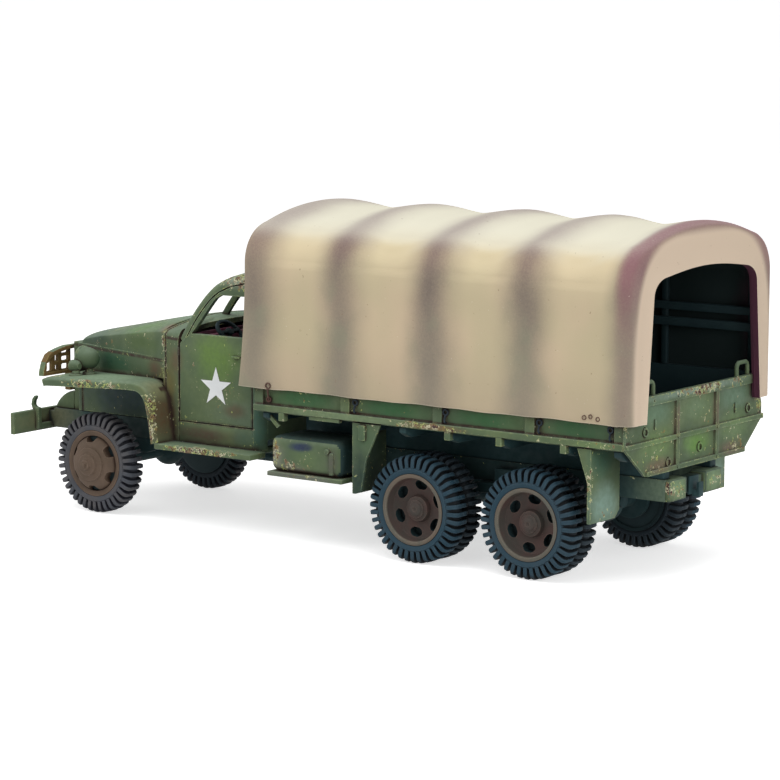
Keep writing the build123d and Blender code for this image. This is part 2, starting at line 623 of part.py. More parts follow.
def tyre(x, y, side):
    """One tyre with chamfered shoulders, between the two distances x from the middle."""
    axis = Plane((0, y, TYRE_R), x_dir=(0, 1, 0), z_dir=(side, 0, 0))
    for low, high, low_scale, high_scale in ((0.0, 0.9, 0.9, 1.0), (0.9, 2.8, 1.0, 1.0), (2.8, 3.4, 1.0, 0.92)):
        loft((lug_ring(axis.offset(x[0] + low), low_scale), lug_ring(axis.offset(x[0] + high), high_scale)),
             ruled=True)
    with BuildSketch(axis.offset(x[0] - 1)) as bore:
        Circle(RIM_R)
    extrude(bore.sketch, amount=x[1] - x[0] + 2, mode=Mode.SUBTRACT)


# half profiles of the wheels: distance from the truck's middle, radius
FRONT_WHEEL = ((12.0, 4.9), (12.0, RIM_R), (15.0, RIM_R), (15.0, 4.3), (15.9, 3.9), (16.2, 2.7), (16.7, 1.6),
               (17.5, 0.8), (17.5, 0), (14.4, 0), (14.4, BORE_R), (11.1, BORE_R), (11.1, 1.8), (14.2, 2.2),
               (13.4, 4.9))
REAR_WHEEL = ((10.8, 4.8), (10.8, RIM_R), (18.0, RIM_R), (18.0, 4.7), (16.5, 4.5), (16.2, 2.0), (16.9, 1.7),
              (17.2, 1.0), (17.2, 0), (15.2, 0), (15.2, BORE_R), (10.7, BORE_R), (10.7, 1.8), (14.9, 2.0),
              (15.2, 4.8))


def wheel(profile, y, side, hole_at, hole_r):
    """A dished wheel with six holes round its hub."""
    with BuildSketch(Plane((0, y, TYRE_R), x_dir=(side, 0, 0), z_dir=(0, -side, 0))) as half:
        with BuildLine():
            Polyline(*profile, close=True)
        make_face()
    revolve(half.sketch, axis=Axis((0, y, TYRE_R), (1, 0, 0)))
    with BuildSketch(Plane((side * 13.0, y, TYRE_R), x_dir=(0, 1, 0), z_dir=(side, 0, 0))) as holes:
        with PolarLocations(hole_at, 6):
            Circle(hole_r)
    extrude(holes.sketch, amount=6, mode=Mode.SUBTRACT)


for name, side in SIDES:
    with BuildPart() as front_tyre:
        tyre(FRONT_TYRE_X, FRONT_AXLE_Y, side)
    keep(front_tyre, f"tyre_front_{name}")

    with BuildPart() as front_wheel:
        wheel(FRONT_WHEEL, FRONT_AXLE_Y, side, 4.2, 0.7)
    keep(front_wheel, f"wheel_front_{name}")

    for place, y in REAR_AXLE_Y:
        with BuildPart() as twin_tyres:
            tyre(INNER_TYRE_X, y, side)
            tyre(OUTER_TYRE_X, y, side)
        keep(twin_tyres, f"tyres_{place}_{name}")

        with BuildPart() as twin_wheel:
            wheel(REAR_WHEEL, y, side, 3.5, 0.75)
        keep(twin_wheel, f"wheel_{place}_{name}")
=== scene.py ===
"""Looks of the six-wheel military cargo truck, a painted plastic scale model.

Sizes in the tables are millimetres in the truck's own frame: it faces -Y, its left side is +X and
the ground is at z = 0.  The meshes are in metres.
"""
import json
from math import cos, pi, radians, sin, sqrt, tau

import bpy
from mathutils import Euler, Matrix, Vector

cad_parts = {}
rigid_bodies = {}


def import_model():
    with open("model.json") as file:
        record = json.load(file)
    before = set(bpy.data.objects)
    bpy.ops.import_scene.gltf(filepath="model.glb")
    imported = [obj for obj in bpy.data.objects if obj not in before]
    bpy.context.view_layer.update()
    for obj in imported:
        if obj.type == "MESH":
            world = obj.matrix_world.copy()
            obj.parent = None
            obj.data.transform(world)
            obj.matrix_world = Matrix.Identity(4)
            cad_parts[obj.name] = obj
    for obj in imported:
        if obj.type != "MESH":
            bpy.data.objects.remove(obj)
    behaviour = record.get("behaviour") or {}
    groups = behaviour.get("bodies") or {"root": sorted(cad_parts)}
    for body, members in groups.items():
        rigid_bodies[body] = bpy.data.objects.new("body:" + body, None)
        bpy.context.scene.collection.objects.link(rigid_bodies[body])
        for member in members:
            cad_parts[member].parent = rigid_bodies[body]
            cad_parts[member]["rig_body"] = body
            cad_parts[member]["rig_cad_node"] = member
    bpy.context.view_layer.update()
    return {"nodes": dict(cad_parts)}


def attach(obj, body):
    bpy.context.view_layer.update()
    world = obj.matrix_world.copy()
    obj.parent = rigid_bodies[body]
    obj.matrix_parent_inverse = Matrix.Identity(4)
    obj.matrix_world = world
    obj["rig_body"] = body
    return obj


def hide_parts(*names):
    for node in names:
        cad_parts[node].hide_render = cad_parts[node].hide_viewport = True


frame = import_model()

MM = 0.001
SIDES = (("left", 1), ("right", -1))
WHEEL_R = 7.9
AXLES = (("front", -42.1), ("middle", 21.6), ("rear", 41.1))


# ---------------------------------------------------------------- working on a piece
def mm(point):
    """A point given in millimetres, as a vector in metres."""
    return Vector(point) * MM


def pick(*pieces):
    """Select only these pieces; the last one is the active one."""
    bpy.ops.object.select_all(action="DESELECT")
    for piece in pieces:
        piece.select_set(True)
    bpy.context.view_layer.objects.active = pieces[-1]


def open_up(piece):
    """Edit the piece with all of it selected."""
    pick(piece)
    bpy.ops.object.mode_set(mode="EDIT")
    bpy.ops.mesh.select_all(action="SELECT")


def close_up():
    """Leave edit mode."""
    bpy.ops.object.mode_set(mode="OBJECT")


def edited(piece, operator, **settings):
    """Run one mesh operator on the whole piece."""
    open_up(piece)
    operator(**settings)
    close_up()
    return piece


def face_out(piece):
    """Merge doubled corners and turn all faces outwards."""
    edited(piece, bpy.ops.mesh.remove_doubles, threshold=1e-6)
    return edited(piece, bpy.ops.mesh.normals_make_consistent, inside=False)


def added(name, operator, **settings):
    """A new primitive under its own name."""
    bpy.ops.object.select_all(action="DESELECT")
    operator(**settings)
    piece = bpy.context.active_object
    piece.name = name
    bpy.ops.object.transform_apply()
    return piece


def applied(piece, kind, **settings):
    """Put a modifier on the piece and apply it."""
    modifier = piece.modifiers.new(kind.lower(), kind)
    for name, value in settings.items():
        setattr(modifier, name, value)
    pick(piece)
    bpy.ops.object.modifier_apply(modifier=modifier.name)
    return piece


def smooth(piece, angle=35):
    """Shade the piece smooth, up to the angle in degrees."""
    pick(piece)
    bpy.ops.object.shade_smooth_by_angle(angle=radians(angle))
    return piece


def rounded(piece, width, segments=2, angle=28):
    """Round every edge sharper than the angle, then shade the piece smooth."""
    applied(piece, "BEVEL", width=width * MM, segments=segments, limit_method="ANGLE",
            angle_limit=radians(angle), miter_outer="MITER_ARC")
    return smooth(piece)


def block(name, x, y, z):
    """A box between the low and high value of each axis."""
    low, high = mm((x[0], y[0], z[0])), mm((x[1], y[1], z[1]))
    return added(name, bpy.ops.mesh.primitive_cube_add, size=1, location=(low + high) / 2, scale=high - low)


def rod(name, start, end, radius, sides=16, end_radius=None):
    """A round bar from start to end."""
    start, end = mm(start), mm(end)
    along = end - start
    end_radius = radius if end_radius is None else end_radius
    return added(name, bpy.ops.mesh.primitive_cone_add, vertices=sides, radius1=radius * MM,
                 radius2=end_radius * MM, depth=along.length, location=(start + end) / 2,
                 rotation=along.to_track_quat("Z", "Y").to_euler())


def drawn(name, points, fill=False):
    """A line drawn corner by corner from one vertex, closed and filled if asked."""
    points = [mm(p) for p in points]
    piece = added(name, bpy.ops.mesh.primitive_plane_add, size=MM, location=points[0])
    open_up(piece)
    bpy.ops.mesh.merge(type="CENTER")
    for a, b in zip(points, points[1:]):
        bpy.ops.mesh.extrude_vertices_move(TRANSFORM_OT_translate={"value": b - a})
    if fill:
        bpy.ops.mesh.select_all(action="SELECT")
        bpy.ops.mesh.edge_face_add()
    close_up()
    return piece


def plate(name, points, depth):
    """A plate with the outline points, thickened by the vector depth."""
    return face_out(edited(drawn(name, points, fill=True), bpy.ops.mesh.extrude_region_move,
                           TRANSFORM_OT_translate={"value": mm(depth)}))


def bent_bar(name, points, radius, sides):
    """A round bar bent through the points."""
    pick(drawn(name, points))
    bpy.ops.object.convert(target="CURVE")
    bar = bpy.context.active_object.data
    bar.bevel_depth = radius * MM
    bar.bevel_resolution = sides
    bar.use_fill_caps = True
    bpy.ops.object.convert(target="MESH")
    return smooth(bpy.context.active_object, 50)


def spun(name, points, centre, axis, steps):
    """A closed form: a line of points spun once round the axis through the centre."""
    return face_out(edited(drawn(name, points), bpy.ops.mesh.spin, steps=steps, angle=tau,
                           center=mm(centre), axis=axis))


def turned(name, profile, y, side, steps):
    """A profile of (distance from the truck's middle, radius), spun about the axle at y."""
    points = [(side * x, y, WHEEL_R + radius) for x, radius in profile]
    return spun(name, points, (0, y, WHEEL_R), (1, 0, 0), steps)


def all_round(piece, count, y):
    """The piece's mesh so many times round the axle at y."""
    return face_out(edited(piece, bpy.ops.mesh.spin, steps=count, dupli=True, angle=tau,
                           center=mm((0, y, WHEEL_R)), axis=(1, 0, 0)))


def eased(points, steps):
    """Points on a smooth curve through the given ones, with so many steps between each two."""
    curve = []
    last = len(points) - 1
    for k in range(last):
        before, a, b, after = (points[max(k - 1, 0)], points[k], points[k + 1], points[min(k + 2, last)])
        for step in range(steps):
            t = step / steps
            curve.append(tuple(0.5 * (2 * q + (r - p) * t + (2 * p - 5 * q + 4 * r - s) * t ** 2
                                      + (3 * q - p - 3 * r + s) * t ** 3)
                               for p, q, r, s in zip(before, a, b, after)))
    return curve + [points[-1]]


def sheet_grid(name, columns, rows, place):
    """A grid whose corner (column, row) is put at place(column, row)."""
    piece = added(name, bpy.ops.mesh.primitive_grid_add, x_subdivisions=columns - 1,
                  y_subdivisions=rows - 1, size=1)
    for vertex in piece.data.vertices:
        i = round((vertex.co.x + 0.5) * (columns - 1))
        j = round((vertex.co.y + 0.5) * (rows - 1))
        vertex.co = mm(place(i, j))
    return piece


def without_faces(piece, unwanted):
    """Delete the faces whose centre, in millimetres, is unwanted."""
    open_up(piece)
    bpy.ops.mesh.select_all(action="DESELECT")
    bpy.context.tool_settings.mesh_select_mode = (False, False, True)
    close_up()
    for face in piece.data.polygons:
        face.select = unwanted(*(face.center / MM))
    bpy.ops.object.mode_set(mode="EDIT")
    bpy.ops.mesh.delete(type="FACE")
    bpy.context.tool_settings.mesh_select_mode = (True, False, False)
    close_up()
    return piece


def walled(piece, middle, thickness, edge=None):
    """Turn the sheet's faces up, going by the middle one, give it a wall and bevel its rims."""
    edited(piece, bpy.ops.mesh.normals_make_consistent, inside=False)
    if piece.data.polygons[middle].normal.z < 0:
        edited(piece, bpy.ops.mesh.flip_normals)
    applied(piece, "SOLIDIFY", thickness=thickness * MM, offset=-1, use_even_offset=False)
    if edge:
        applied(piece, "BEVEL", width=edge * MM, segments=2, limit_method="ANGLE", angle_limit=radians(50))
    return piece


def pressed(name, path, columns, place, unwanted, thickness, edge):
    """A pressed panel with a wall, less its unwanted faces.

    The path is its side view (y, z).  Each column of it has its own x and lies so far below the path.
    """
    def below(i, j):
        x, depth = columns[i]
        (y0, z0), (y1, z1) = path[max(j - 1, 0)], path[min(j + 1, len(path) - 1)]
        y, z = path[j]
        along = sqrt((y1 - y0) ** 2 + (z1 - z0) ** 2)
        return place((x, y + depth * (z1 - z0) / along, z - depth * (y1 - y0) / along), j)

    piece = without_faces(sheet_grid(name, len(columns), len(path), below), unwanted)
    return smooth(walled(piece, len(piece.data.polygons) // 2, thickness, edge), 45)


def joined(name, *pieces):
    """Several pieces as one."""
    pick(*pieces)
    bpy.ops.object.join()
    piece = bpy.context.active_object
    piece.name = name
    return piece


def ring(name, centre, axis, radius, thickness):
    """A round-wire ring about the axis."""
    return smooth(added(name, bpy.ops.mesh.primitive_torus_add, major_segments=24, minor_segments=8,
                        major_radius=radius * MM, minor_radius=thickness * MM, location=mm(centre),
                        rotation=Vector(axis).to_track_quat("Z", "Y").to_euler()), 60)


def two_tone(piece, paint, chosen):
    """Give the faces whose centre, in millimetres, is chosen a second paint."""
    piece.data.materials.append(paint)
    for face in piece.data.polygons:
        if chosen(*(face.center / MM)):
            face.material_index = len(piece.data.materials) - 1
    return piece


def again(piece, name, move):
    """A copy with its own mesh, moved."""
    pick(piece)
    bpy.ops.object.duplicate()
    copy = bpy.context.active_object
    copy.name = name
    copy.location = mm(move)
    bpy.ops.object.transform_apply()
    return copy


def mirrored(piece):
    """Turn the piece over to the other side of the truck."""
    pick(piece)
    piece.scale.x = -1
    bpy.ops.object.transform_apply()
    return edited(piece, bpy.ops.mesh.normals_make_consistent, inside=False)


def cut(piece, cutter, operation="DIFFERENCE"):
    """Cut the cutter's shape out of the piece, or join it on."""
    applied(piece, "BOOLEAN", object=cutter, operation=operation, solver="EXACT")
    bpy.data.objects.remove(cutter)
    return piece


def fitted(piece, paint, body="truck", nodes=()):
    """Give a finished piece its paint and the body it rides on, in place of the named CAD nodes."""
    piece.data.materials.clear()
    piece.data.materials.append(paint)
    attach(piece, body)
    if nodes:
        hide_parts(*nodes)
    return piece


def copied_node(node, name):
    """A CAD node as one welded mesh that can be worked on."""
    source = frame["nodes"][node]
    pick(source)
    bpy.ops.object.duplicate()
    piece = bpy.context.active_object
    piece.name = name
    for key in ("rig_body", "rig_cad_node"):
        del piece[key]
    piece.parent = None
    open_up(piece)
    bpy.ops.mesh.remove_doubles(threshold=2e-6)
    bpy.ops.mesh.dissolve_limited(angle_limit=radians(1))
    close_up()
    return piece


def moulded(node, paint, width):
    """The node as a moulded plastic piece, with soft edges."""
    return fitted(rounded(copied_node(node, "moulded_" + node), width), paint, nodes=(node,))


# ---------------------------------------------------------------- shader groups
def new_group(name, inputs, *outputs):
    """A group with the named masks as outputs, its nodes, its input node and its output node.

    Each input has the default of a number, or None for a vector.
    """
    group = bpy.data.node_groups.new(name, "ShaderNodeTree")
    for label, default in inputs.items():
        kind = "NodeSocketVector" if default is None else "NodeSocketFloat"
        socket = group.interface.new_socket(label, in_out="INPUT", socket_type=kind)
        if default is not None:
            socket.default_value = default
    for label in outputs:
        group.interface.new_socket(label, in_out="OUTPUT", socket_type="NodeSocketFloat")
    nodes = Nodes(group)
    return group, nodes, nodes.add("NodeGroupInput"), nodes.add("NodeGroupOutput")


class Nodes:
    """Short calls for placing and linking nodes in one tree."""

    def __init__(self, tree):
        self.tree = tree

    def add(self, kind, **settings):
        """A new node with its settings."""
        node = self.tree.nodes.new(kind)
        for name, value in settings.items():
            setattr(node, name, value)
        return node

    def feed(self, socket, value):
        """Link a socket to another, or set its value."""
        if isinstance(value, bpy.types.NodeSocket):
            self.tree.links.new(value, socket)
        else:
            socket.default_value = value

    def feed_all(self, node, *values):
        """Feed the node's inputs in their order."""
        for socket, value in zip(node.inputs, values):
            self.feed(socket, value)
        return node.outputs

    def math(self, operation, *values, clamp=False):
        """The result of a math node."""
        return self.feed_all(self.add("ShaderNodeMath", operation=operation, use_clamp=clamp), *values)[0]

    def times(self, a, b, clamp=False):
        """The product of two values."""
        return self.math("MULTIPLY", a, b, clamp=clamp)

    def vector(self, operation, *values, output="Vector"):
        """The result of a vector math node."""
        return self.feed_all(self.add("ShaderNodeVectorMath", operation=operation), *values)[output]

    def parts(self, vector):
        """The x, y and z of a vector."""
        return self.feed_all(self.add("ShaderNodeSeparateXYZ"), vector)

    def mix(self, share, a, b):
        """A colour mix of a and b."""
        node = self.add("ShaderNodeMix", data_type="RGBA")
        for socket, value in zip((0, 6, 7), (share, a, b)):
            self.feed(node.inputs[socket], value)
        return node.outputs[2]

    def ramp(self, value, low, high, to_low=0.0, to_high=1.0):
        """A smooth step of value between low and high."""
        node = self.add("ShaderNodeMapRange", interpolation_type="SMOOTHSTEP")
        return self.feed_all(node, value, low, high, to_low, to_high)[0]

    def place(self):
        """Object coordinates in millimetres."""
        return self.vector("MULTIPLY", self.add("ShaderNodeTexCoord").outputs["Object"], [1 / MM] * 3)

    def both_sides(self):
        """Object coordinates in millimetres, the same on both sides of the truck."""
        x, y, z = self.parts(self.place())
        return self.feed_all(self.add("ShaderNodeCombineXYZ"), self.math("ABSOLUTE", x), y, z)[0]

    def facing(self):
        """The x, y and z of the way the surface faces."""
        return self.parts(self.add("ShaderNodeNewGeometry").outputs["Normal"])

    def named(self, node, **values):
        """Feed the node's inputs by name."""
        for name, value in values.items():
            self.feed(node.inputs[name], value)
        return node

    def noise(self, vector, scale, detail=3.0, roughness=0.5, distortion=0.0):
        """A noise pattern."""
        return self.named(self.add("ShaderNodeTexNoise"), Vector=vector, Scale=scale, Detail=detail,
                          Roughness=roughness, Distortion=distortion).outputs["Fac"]

    def group(self, tree, **inputs):
        """What a node group puts out."""
        return self.named(self.add("ShaderNodeGroup", node_tree=tree), **inputs).outputs

    def seen(self):
        """Whether a ray comes straight, mirrored or through glass from the camera."""
        path = self.add("ShaderNodeLightPath").outputs
        direct = self.math("MAXIMUM", path["Is Camera Ray"], path["Is Glossy Ray"])
        return self.math("MAXIMUM", direct, path["Is Transmission Ray"])

    def relief(self, shader, strength, height):
        """Fine relief on the paint."""
        bump = self.add("ShaderNodeBump")
        self.named(bump, Strength=strength, Distance=0.05 * MM, Height=height)
        self.feed(shader.inputs["Normal"], bump.outputs[0])


def edge_wear_group():
    """Mask of the raised edges, broken up where paint has held."""
    group, n, given, out = new_group("edge wear", {"Width": 0.25, "Breaks": 0.5}, "Mask", "Edge")
    bevel = n.add("ShaderNodeBevel", samples=6)
    n.feed(bevel.inputs["Radius"], n.times(given.outputs["Width"], MM))
    normal = n.add("ShaderNodeNewGeometry").outputs["Normal"]
    turn = n.ramp(n.vector("DOT_PRODUCT", bevel.outputs[0], normal, output="Value"), 0.995, 0.9)
    openness = n.add("ShaderNodeAmbientOcclusion", samples=6)
    n.feed(openness.inputs["Distance"], 1.2 * MM)
    raised = n.ramp(openness.outputs["AO"], 0.72, 0.92)
    edge = n.times(turn, raised)
    breaks = n.noise(n.place(), 0.9, 4.0, 0.65)
    held = n.math("SUBTRACT", n.math("ADD", breaks, 0.25), n.times(given.outputs["Breaks"], 0.5))
    n.feed(out.inputs["Mask"], n.times(edge, n.ramp(held, 0.42, 0.58)))
    n.feed(out.inputs["Edge"], edge)
    return group


def recess_group():
    """Mask of the corners and gaps where dark wash settles."""
    group, n, given, out = new_group("recess wash", {"Reach": 1.5, "Strength": 1.0}, "Mask")
    near = n.add("ShaderNodeAmbientOcclusion", samples=8)
    n.feed(near.inputs["Distance"], n.times(given.outputs["Reach"], MM))
    closed = n.math("SUBTRACT", 1.0, near.outputs["AO"])
    patchy = n.ramp(n.noise(n.place(), 0.35, 3.0), 0.25, 0.75, 0.65, 1.0)
    wash = n.ramp(n.times(closed, patchy), 0.12, 0.5)
    n.feed(out.inputs["Mask"], n.times(wash, given.outputs["Strength"], clamp=True))
    return group


def chips_group():
    """Masks of small chips in clusters: light ones, the dark hearts of the larger ones, and rusty ones."""
    group, n, given, out = new_group("paint chips", {"Amount": 0.5, "Edge": 0.0}, "Light", "Dark", "Rust")
    spot = n.place()
    fine = n.noise(spot, 1.7, 5.0, 0.62, 0.3)
    cluster = n.ramp(n.noise(spot, 0.22, 2.0), 0.4, 0.66, -0.05, 0.05)
    pull = n.math("ADD", cluster, n.times(given.outputs["Edge"], 0.07))
    level = n.math("ADD", n.math("ADD", fine, pull), n.times(given.outputs["Amount"], 0.15))
    light = n.ramp(level, 0.685, 0.705)
    rust = n.ramp(n.noise(spot, 0.9, 2.0), 0.52, 0.58)
    n.feed(out.inputs["Light"], light)
    n.feed(out.inputs["Dark"], n.ramp(level, 0.76, 0.785))
    n.feed(out.inputs["Rust"], n.times(n.ramp(level, 0.68, 0.71), rust))
    return group


def soft_spot_group():
    """Mask of one soft round spot, for sprayed colour, painted highlights and shade, and chipped areas. Place
    is in millimetres, Wobble frays the spot's rim.
    """
    group, n, given, out = new_group(
        "round spot mask", {"Place": None, "Wobble": 0.0, "Centre": None, "Reach": None}, "Mask")
    offset = n.vector("SUBTRACT", given.outputs["Place"], given.outputs["Centre"])
    share = n.vector("DIVIDE", offset, given.outputs["Reach"])
    length = n.vector("LENGTH", share, output="Value")
    n.feed(out.inputs["Mask"], n.ramp(n.math("ADD", length, given.outputs["Wobble"]), 1.0, 0.15))
    return group


def seam_group():
    """Mask of a wash-filled panel line: a thin box with a soft rim. Place is in millimetres."""
    group, n, given, out = new_group("washed seam", {"Place": None, "Centre": None, "Half": None}, "Mask")
    away = n.vector("ABSOLUTE", n.vector("SUBTRACT", given.outputs["Place"], given.outputs["Centre"]))
    outside = n.vector("MAXIMUM", n.vector("SUBTRACT", away, given.outputs["Half"]), (0, 0, 0))
    n.feed(out.inputs["Mask"], n.ramp(n.vector("LENGTH", outside, output="Value"), 0.38, 0.06))
    return group


EDGE_WEAR = edge_wear_group()
RECESS = recess_group()
CHIPS = chips_group()
SPOT = soft_spot_group()
SEAM = seam_group()


# ---------------------------------------------------------------- paints
def new_paint(name, roughness=0.7):
    """A new paint, its nodes and its shader."""
    material = bpy.data.materials.new(name)
    material.use_nodes = True
    material.node_tree.nodes.clear()
    n = Nodes(material.node_tree)
    shader = n.add("ShaderNodeBsdfPrincipled")
    shader.inputs["Roughness"].default_value = roughness
    shader.inputs["Specular IOR Level"].default_value = 0.25
    n.feed(n.add("ShaderNodeOutputMaterial").inputs[0], shader.outputs[0])
    return material, n, shader


def rgb(r, g, b):
    """A solid colour."""
    return (r, g, b, 1.0)


# patches on the olive body, sprayed tones and some painted highlights and shade: centre and reach (|x|, y, z)
# in mm, colour, strength
BODY_SPOTS = (
    # fender bend, cowl and door
    ((16.0, -27.0, 17.0), (6.0, 3.2, 6.5), (0.085, 0.045, 0.020), 0.9),
    ((15.0, -28.0, 22.0), (5.0, 3.5, 3.0), (0.19, 0.15, 0.05), 0.8),
    ((14.5, -27.0, 24.0), (3.5, 2.6, 6.0), (0.11, 0.10, 0.035), 0.7),
    ((14.5, -25.5, 25.5), (3.5, 2.0, 2.6), (0.13, 0.045, 0.03), 0.5),
    ((14.5, -17.5, 26.5), (4.0, 6.5, 6.0), (0.125, 0.215, 0.045), 0.8),
    ((14.5, -13.0, 18.0), (4.0, 9.0, 3.4), (0.115, 0.155, 0.105), 0.7),
    ((14.5, -20.0, 14.5), (4.0, 9.0, 1.8), (0.065, 0.036, 0.024), 0.85),
    ((14.5, -12.0, 14.5), (4.0, 3.5, 2.0), (0.05, 0.09, 0.07), 0.6),
    ((14.5, -14.0, 18.6), (4.0, 3.0, 1.6), (0.10, 0.05, 0.03), 0.6),
    # dark teal on the cab's rear corner: painted shade
    ((14.0, -9.6, 17.0), (4.0, 1.6, 9.0), (0.035, 0.095, 0.075), 0.8),
    # bonnet, its sides and the inner panels
    ((9.5, -42.0, 23.6), (3.2, 12.0, 3.4), (0.022, 0.075, 0.040), 1.0),
    ((8.5, -48.0, 26.8), (5.0, 10.0, 2.2), (0.038, 0.065, 0.042), 1.0),
    ((12.3, -35.0, 27.3), (3.0, 8.0, 2.0), (0.07, 0.11, 0.038), 0.9),
    ((12.6, -31.0, 23.6), (3.0, 2.8, 2.2), (0.10, 0.045, 0.03), 0.7),
    ((3.0, -49.0, 27.8), (8.0, 6.0, 1.6), (0.06, 0.10, 0.07), 0.9),
    ((10.0, -37.0, 29.7), (5.0, 8.0, 1.8), (0.095, 0.19, 0.035), 0.95),
    # near-white top of the bonnet before the cowl: painted highlight
    ((4.0, -32.5, 31.3), (9.0, 9.0, 1.5), (0.20, 0.29, 0.20), 0.9),
    ((12.2, -28.9, 30.2), (3.0, 1.8, 1.4), (0.22, 0.12, 0.085), 0.8),
    ((7.4, -41.0, 18.0), (1.3, 17.0, 6.0), (0.035, 0.06, 0.064), 1.0),
    # pale fender tops: painted highlight
    ((14.5, -42.0, 21.8), (7.0, 15.0, 1.0), (0.22, 0.31, 0.19), 0.85),
    # roof, toolbox and shelf
    # pale roof: painted highlight
    ((13.0, -12.0, 39.0), (5.0, 8.0, 2.2), (0.29, 0.32, 0.26), 0.85),
    ((18.0, -4.6, 13.0), (2.6, 3.6, 4.6), (0.23, 0.22, 0.18), 1.0),
    ((18.0, -0.5, 11.4), (1.6, 4.5, 1.5), (0.17, 0.15, 0.12), 0.8),
    ((18.0, 2.0, 13.5), (2.0, 4.0, 2.2), (0.10, 0.15, 0.065), 0.7),
    # dark blue on the toolbox's upper edge: painted shadow of the bed above
    ((18.0, 0.9, 15.1), (1.2, 2.6, 1.0), (0.014, 0.022, 0.075), 1.0),
    ((18.0, 2.4, 15.2), (1.2, 1.8, 0.8), (0.018, 0.026, 0.06), 1.0),
    ((18.2, 7.2, 13.4), (1.2, 1.6, 3.2), (0.09, 0.085, 0.07), 0.8),
    ((18.2, 2.0, 10.6), (1.0, 10.5, 0.9), (0.12, 0.125, 0.11), 0.9),
    # bed panels and rail
    ((18.0, 2.0, 22.6), (1.0, 8.5, 4.0), (0.035, 0.12, 0.045), 0.9),
    ((18.0, 18.5, 22.6), (1.0, 8.5, 4.0), (0.035, 0.12, 0.045), 0.9),
    ((18.0, 34.5, 22.6), (1.0, 8.5, 4.0), (0.035, 0.12, 0.045), 0.9),
    ((18.0, 49.5, 22.6), (1.0, 7.5, 4.0), (0.03, 0.10, 0.04), 0.9),
    ((19.0, 10.0, 20.5), (0.8, 16.0, 0.9), (0.17, 0.23, 0.125), 0.7),
    ((19.0, 26.0, 20.4), (0.8, 7.0, 0.9), (0.17, 0.10, 0.05), 0.8),
    ((19.0, 53.0, 20.4), (0.8, 5.0, 0.9), (0.16, 0.23, 0.09), 0.7),
    # flaps, bumper blocks and front bumper
    # rear flaps: darker green at the top, lighter at the bottom as painted highlight
    ((16.0, 52.2, 18.0), (4.0, 1.5, 4.0), (0.04, 0.11, 0.075), 0.7),
    ((15.0, 52.2, 11.5), (5.0, 1.5, 4.5), (0.21, 0.32, 0.26), 0.9),
    # front flaps and the space behind them darkened: painted shade
    ((14.0, 12.6, 13.0), (7.0, 1.6, 11.0), (0.012, 0.028, 0.022), 1.0),
    ((18.6, 13.4, 9.6), (2.4, 6.0, 7.6), (0.014, 0.032, 0.024), 1.0),
    ((18.6, 13.4, 18.0), (1.2, 3.0, 3.0), (0.06, 0.11, 0.055), 0.7),
    ((5.0, 58.2, 13.0), (3.2, 1.0, 2.6), (0.20, 0.30, 0.17), 0.8),
    ((10.0, -59.0, 12.8), (9.0, 1.6, 3.0), (0.16, 0.165, 0.085), 0.9),
    # tailgate
    ((0.0, 58.0, 19.0), (5.0, 2.0, 2.4), (0.14, 0.27, 0.06), 0.8),
    ((0.0, 58.0, 24.0), (5.4, 2.0, 2.6), (0.13, 0.20, 0.11), 0.6),
    ((11.0, 58.0, 24.5), (6.0, 2.0, 3.0), (0.13, 0.22, 0.15), 0.6),
    ((11.0, 58.0, 20.0), (6.0, 2.0, 3.0), (0.15, 0.24, 0.09), 0.6),
    ((10.0, 58.2, 17.0), (5.0, 1.0, 1.6), (0.17, 0.10, 0.075), 0.7),
    ((5.5, 58.2, 23.0), (1.3, 1.0, 4.0), (0.14, 0.085, 0.065), 0.6),
    ((17.4, 58.2, 24.0), (1.4, 1.0, 4.0), (0.12, 0.16, 0.10), 0.5),
    ((0.0, 58.3, 26.6), (21.0, 0.8, 0.9), (0.20, 0.27, 0.22), 0.8),
)

# where the paint has chipped most: centre and reach (|x|, y, z) in mm, strength
BODY_CHIPPED = (
    ((18.3, -40.0, 21.2), (1.4, 13.0, 1.6), 1.3),
    ((16.5, -49.0, 21.2), (3.5, 3.0, 1.2), 0.8),
    ((18.2, -27.5, 17.0), (1.6, 2.2, 8.0), 1.5),
    ((18.3, -18.0, 12.5), (2.2, 11.0, 1.4), 1.8),
    ((18.0, -3.9, 13.6), (2.0, 2.2, 3.4), 1.3),
    ((18.0, -1.5, 12.2), (1.6, 3.4, 1.8), 1.5),
    ((18.2, 3.0, 10.6), (1.2, 8.0, 0.9), 0.5),
    ((0.0, 58.3, 26.6), (21.0, 1.2, 1.4), 1.4),
    ((18.4, 58.0, 23.0), (2.2, 1.6, 5.0), 1.4),
    ((12.0, 58.2, 17.4), (6.0, 1.2, 2.4), 0.9),
    ((19.0, 25.0, 20.4), (1.2, 10.0, 1.0), 1.5),
    ((19.0, 54.0, 20.4), (1.4, 5.0, 1.4), 1.2),
    ((13.5, -14.0, 38.5), (3.5, 8.0, 2.6), 1.4),
    ((14.2, -21.5, 34.0), (2.0, 3.5, 3.5), 0.6),
    ((14.0, -28.6, 25.0), (2.5, 2.2, 4.0), 0.8),
    ((5.5, -46.0, 28.2), (5.0, 7.0, 1.4), 0.8),
    ((13.5, -28.9, 28.6), (1.2, 1.0, 3.4), 1.3),
    ((14.5, -15.5, 23.5), (1.0, 5.0, 4.0), 0.55),
    ((14.5, -22.5, 24.5), (1.0, 3.0, 3.5), 0.6),
    ((15.0, 52.0, 10.0), (4.5, 1.5, 1.8), 0.9),
    ((18.5, 52.0, 15.0), (0.8, 1.5, 7.0), 0.9),
    ((5.0, 58.2, 13.0), (3.6, 1.4, 2.4), 0.9),
    ((7.0, 58.0, 13.0), (1.0, 1.4, 2.2), 1.6),
)

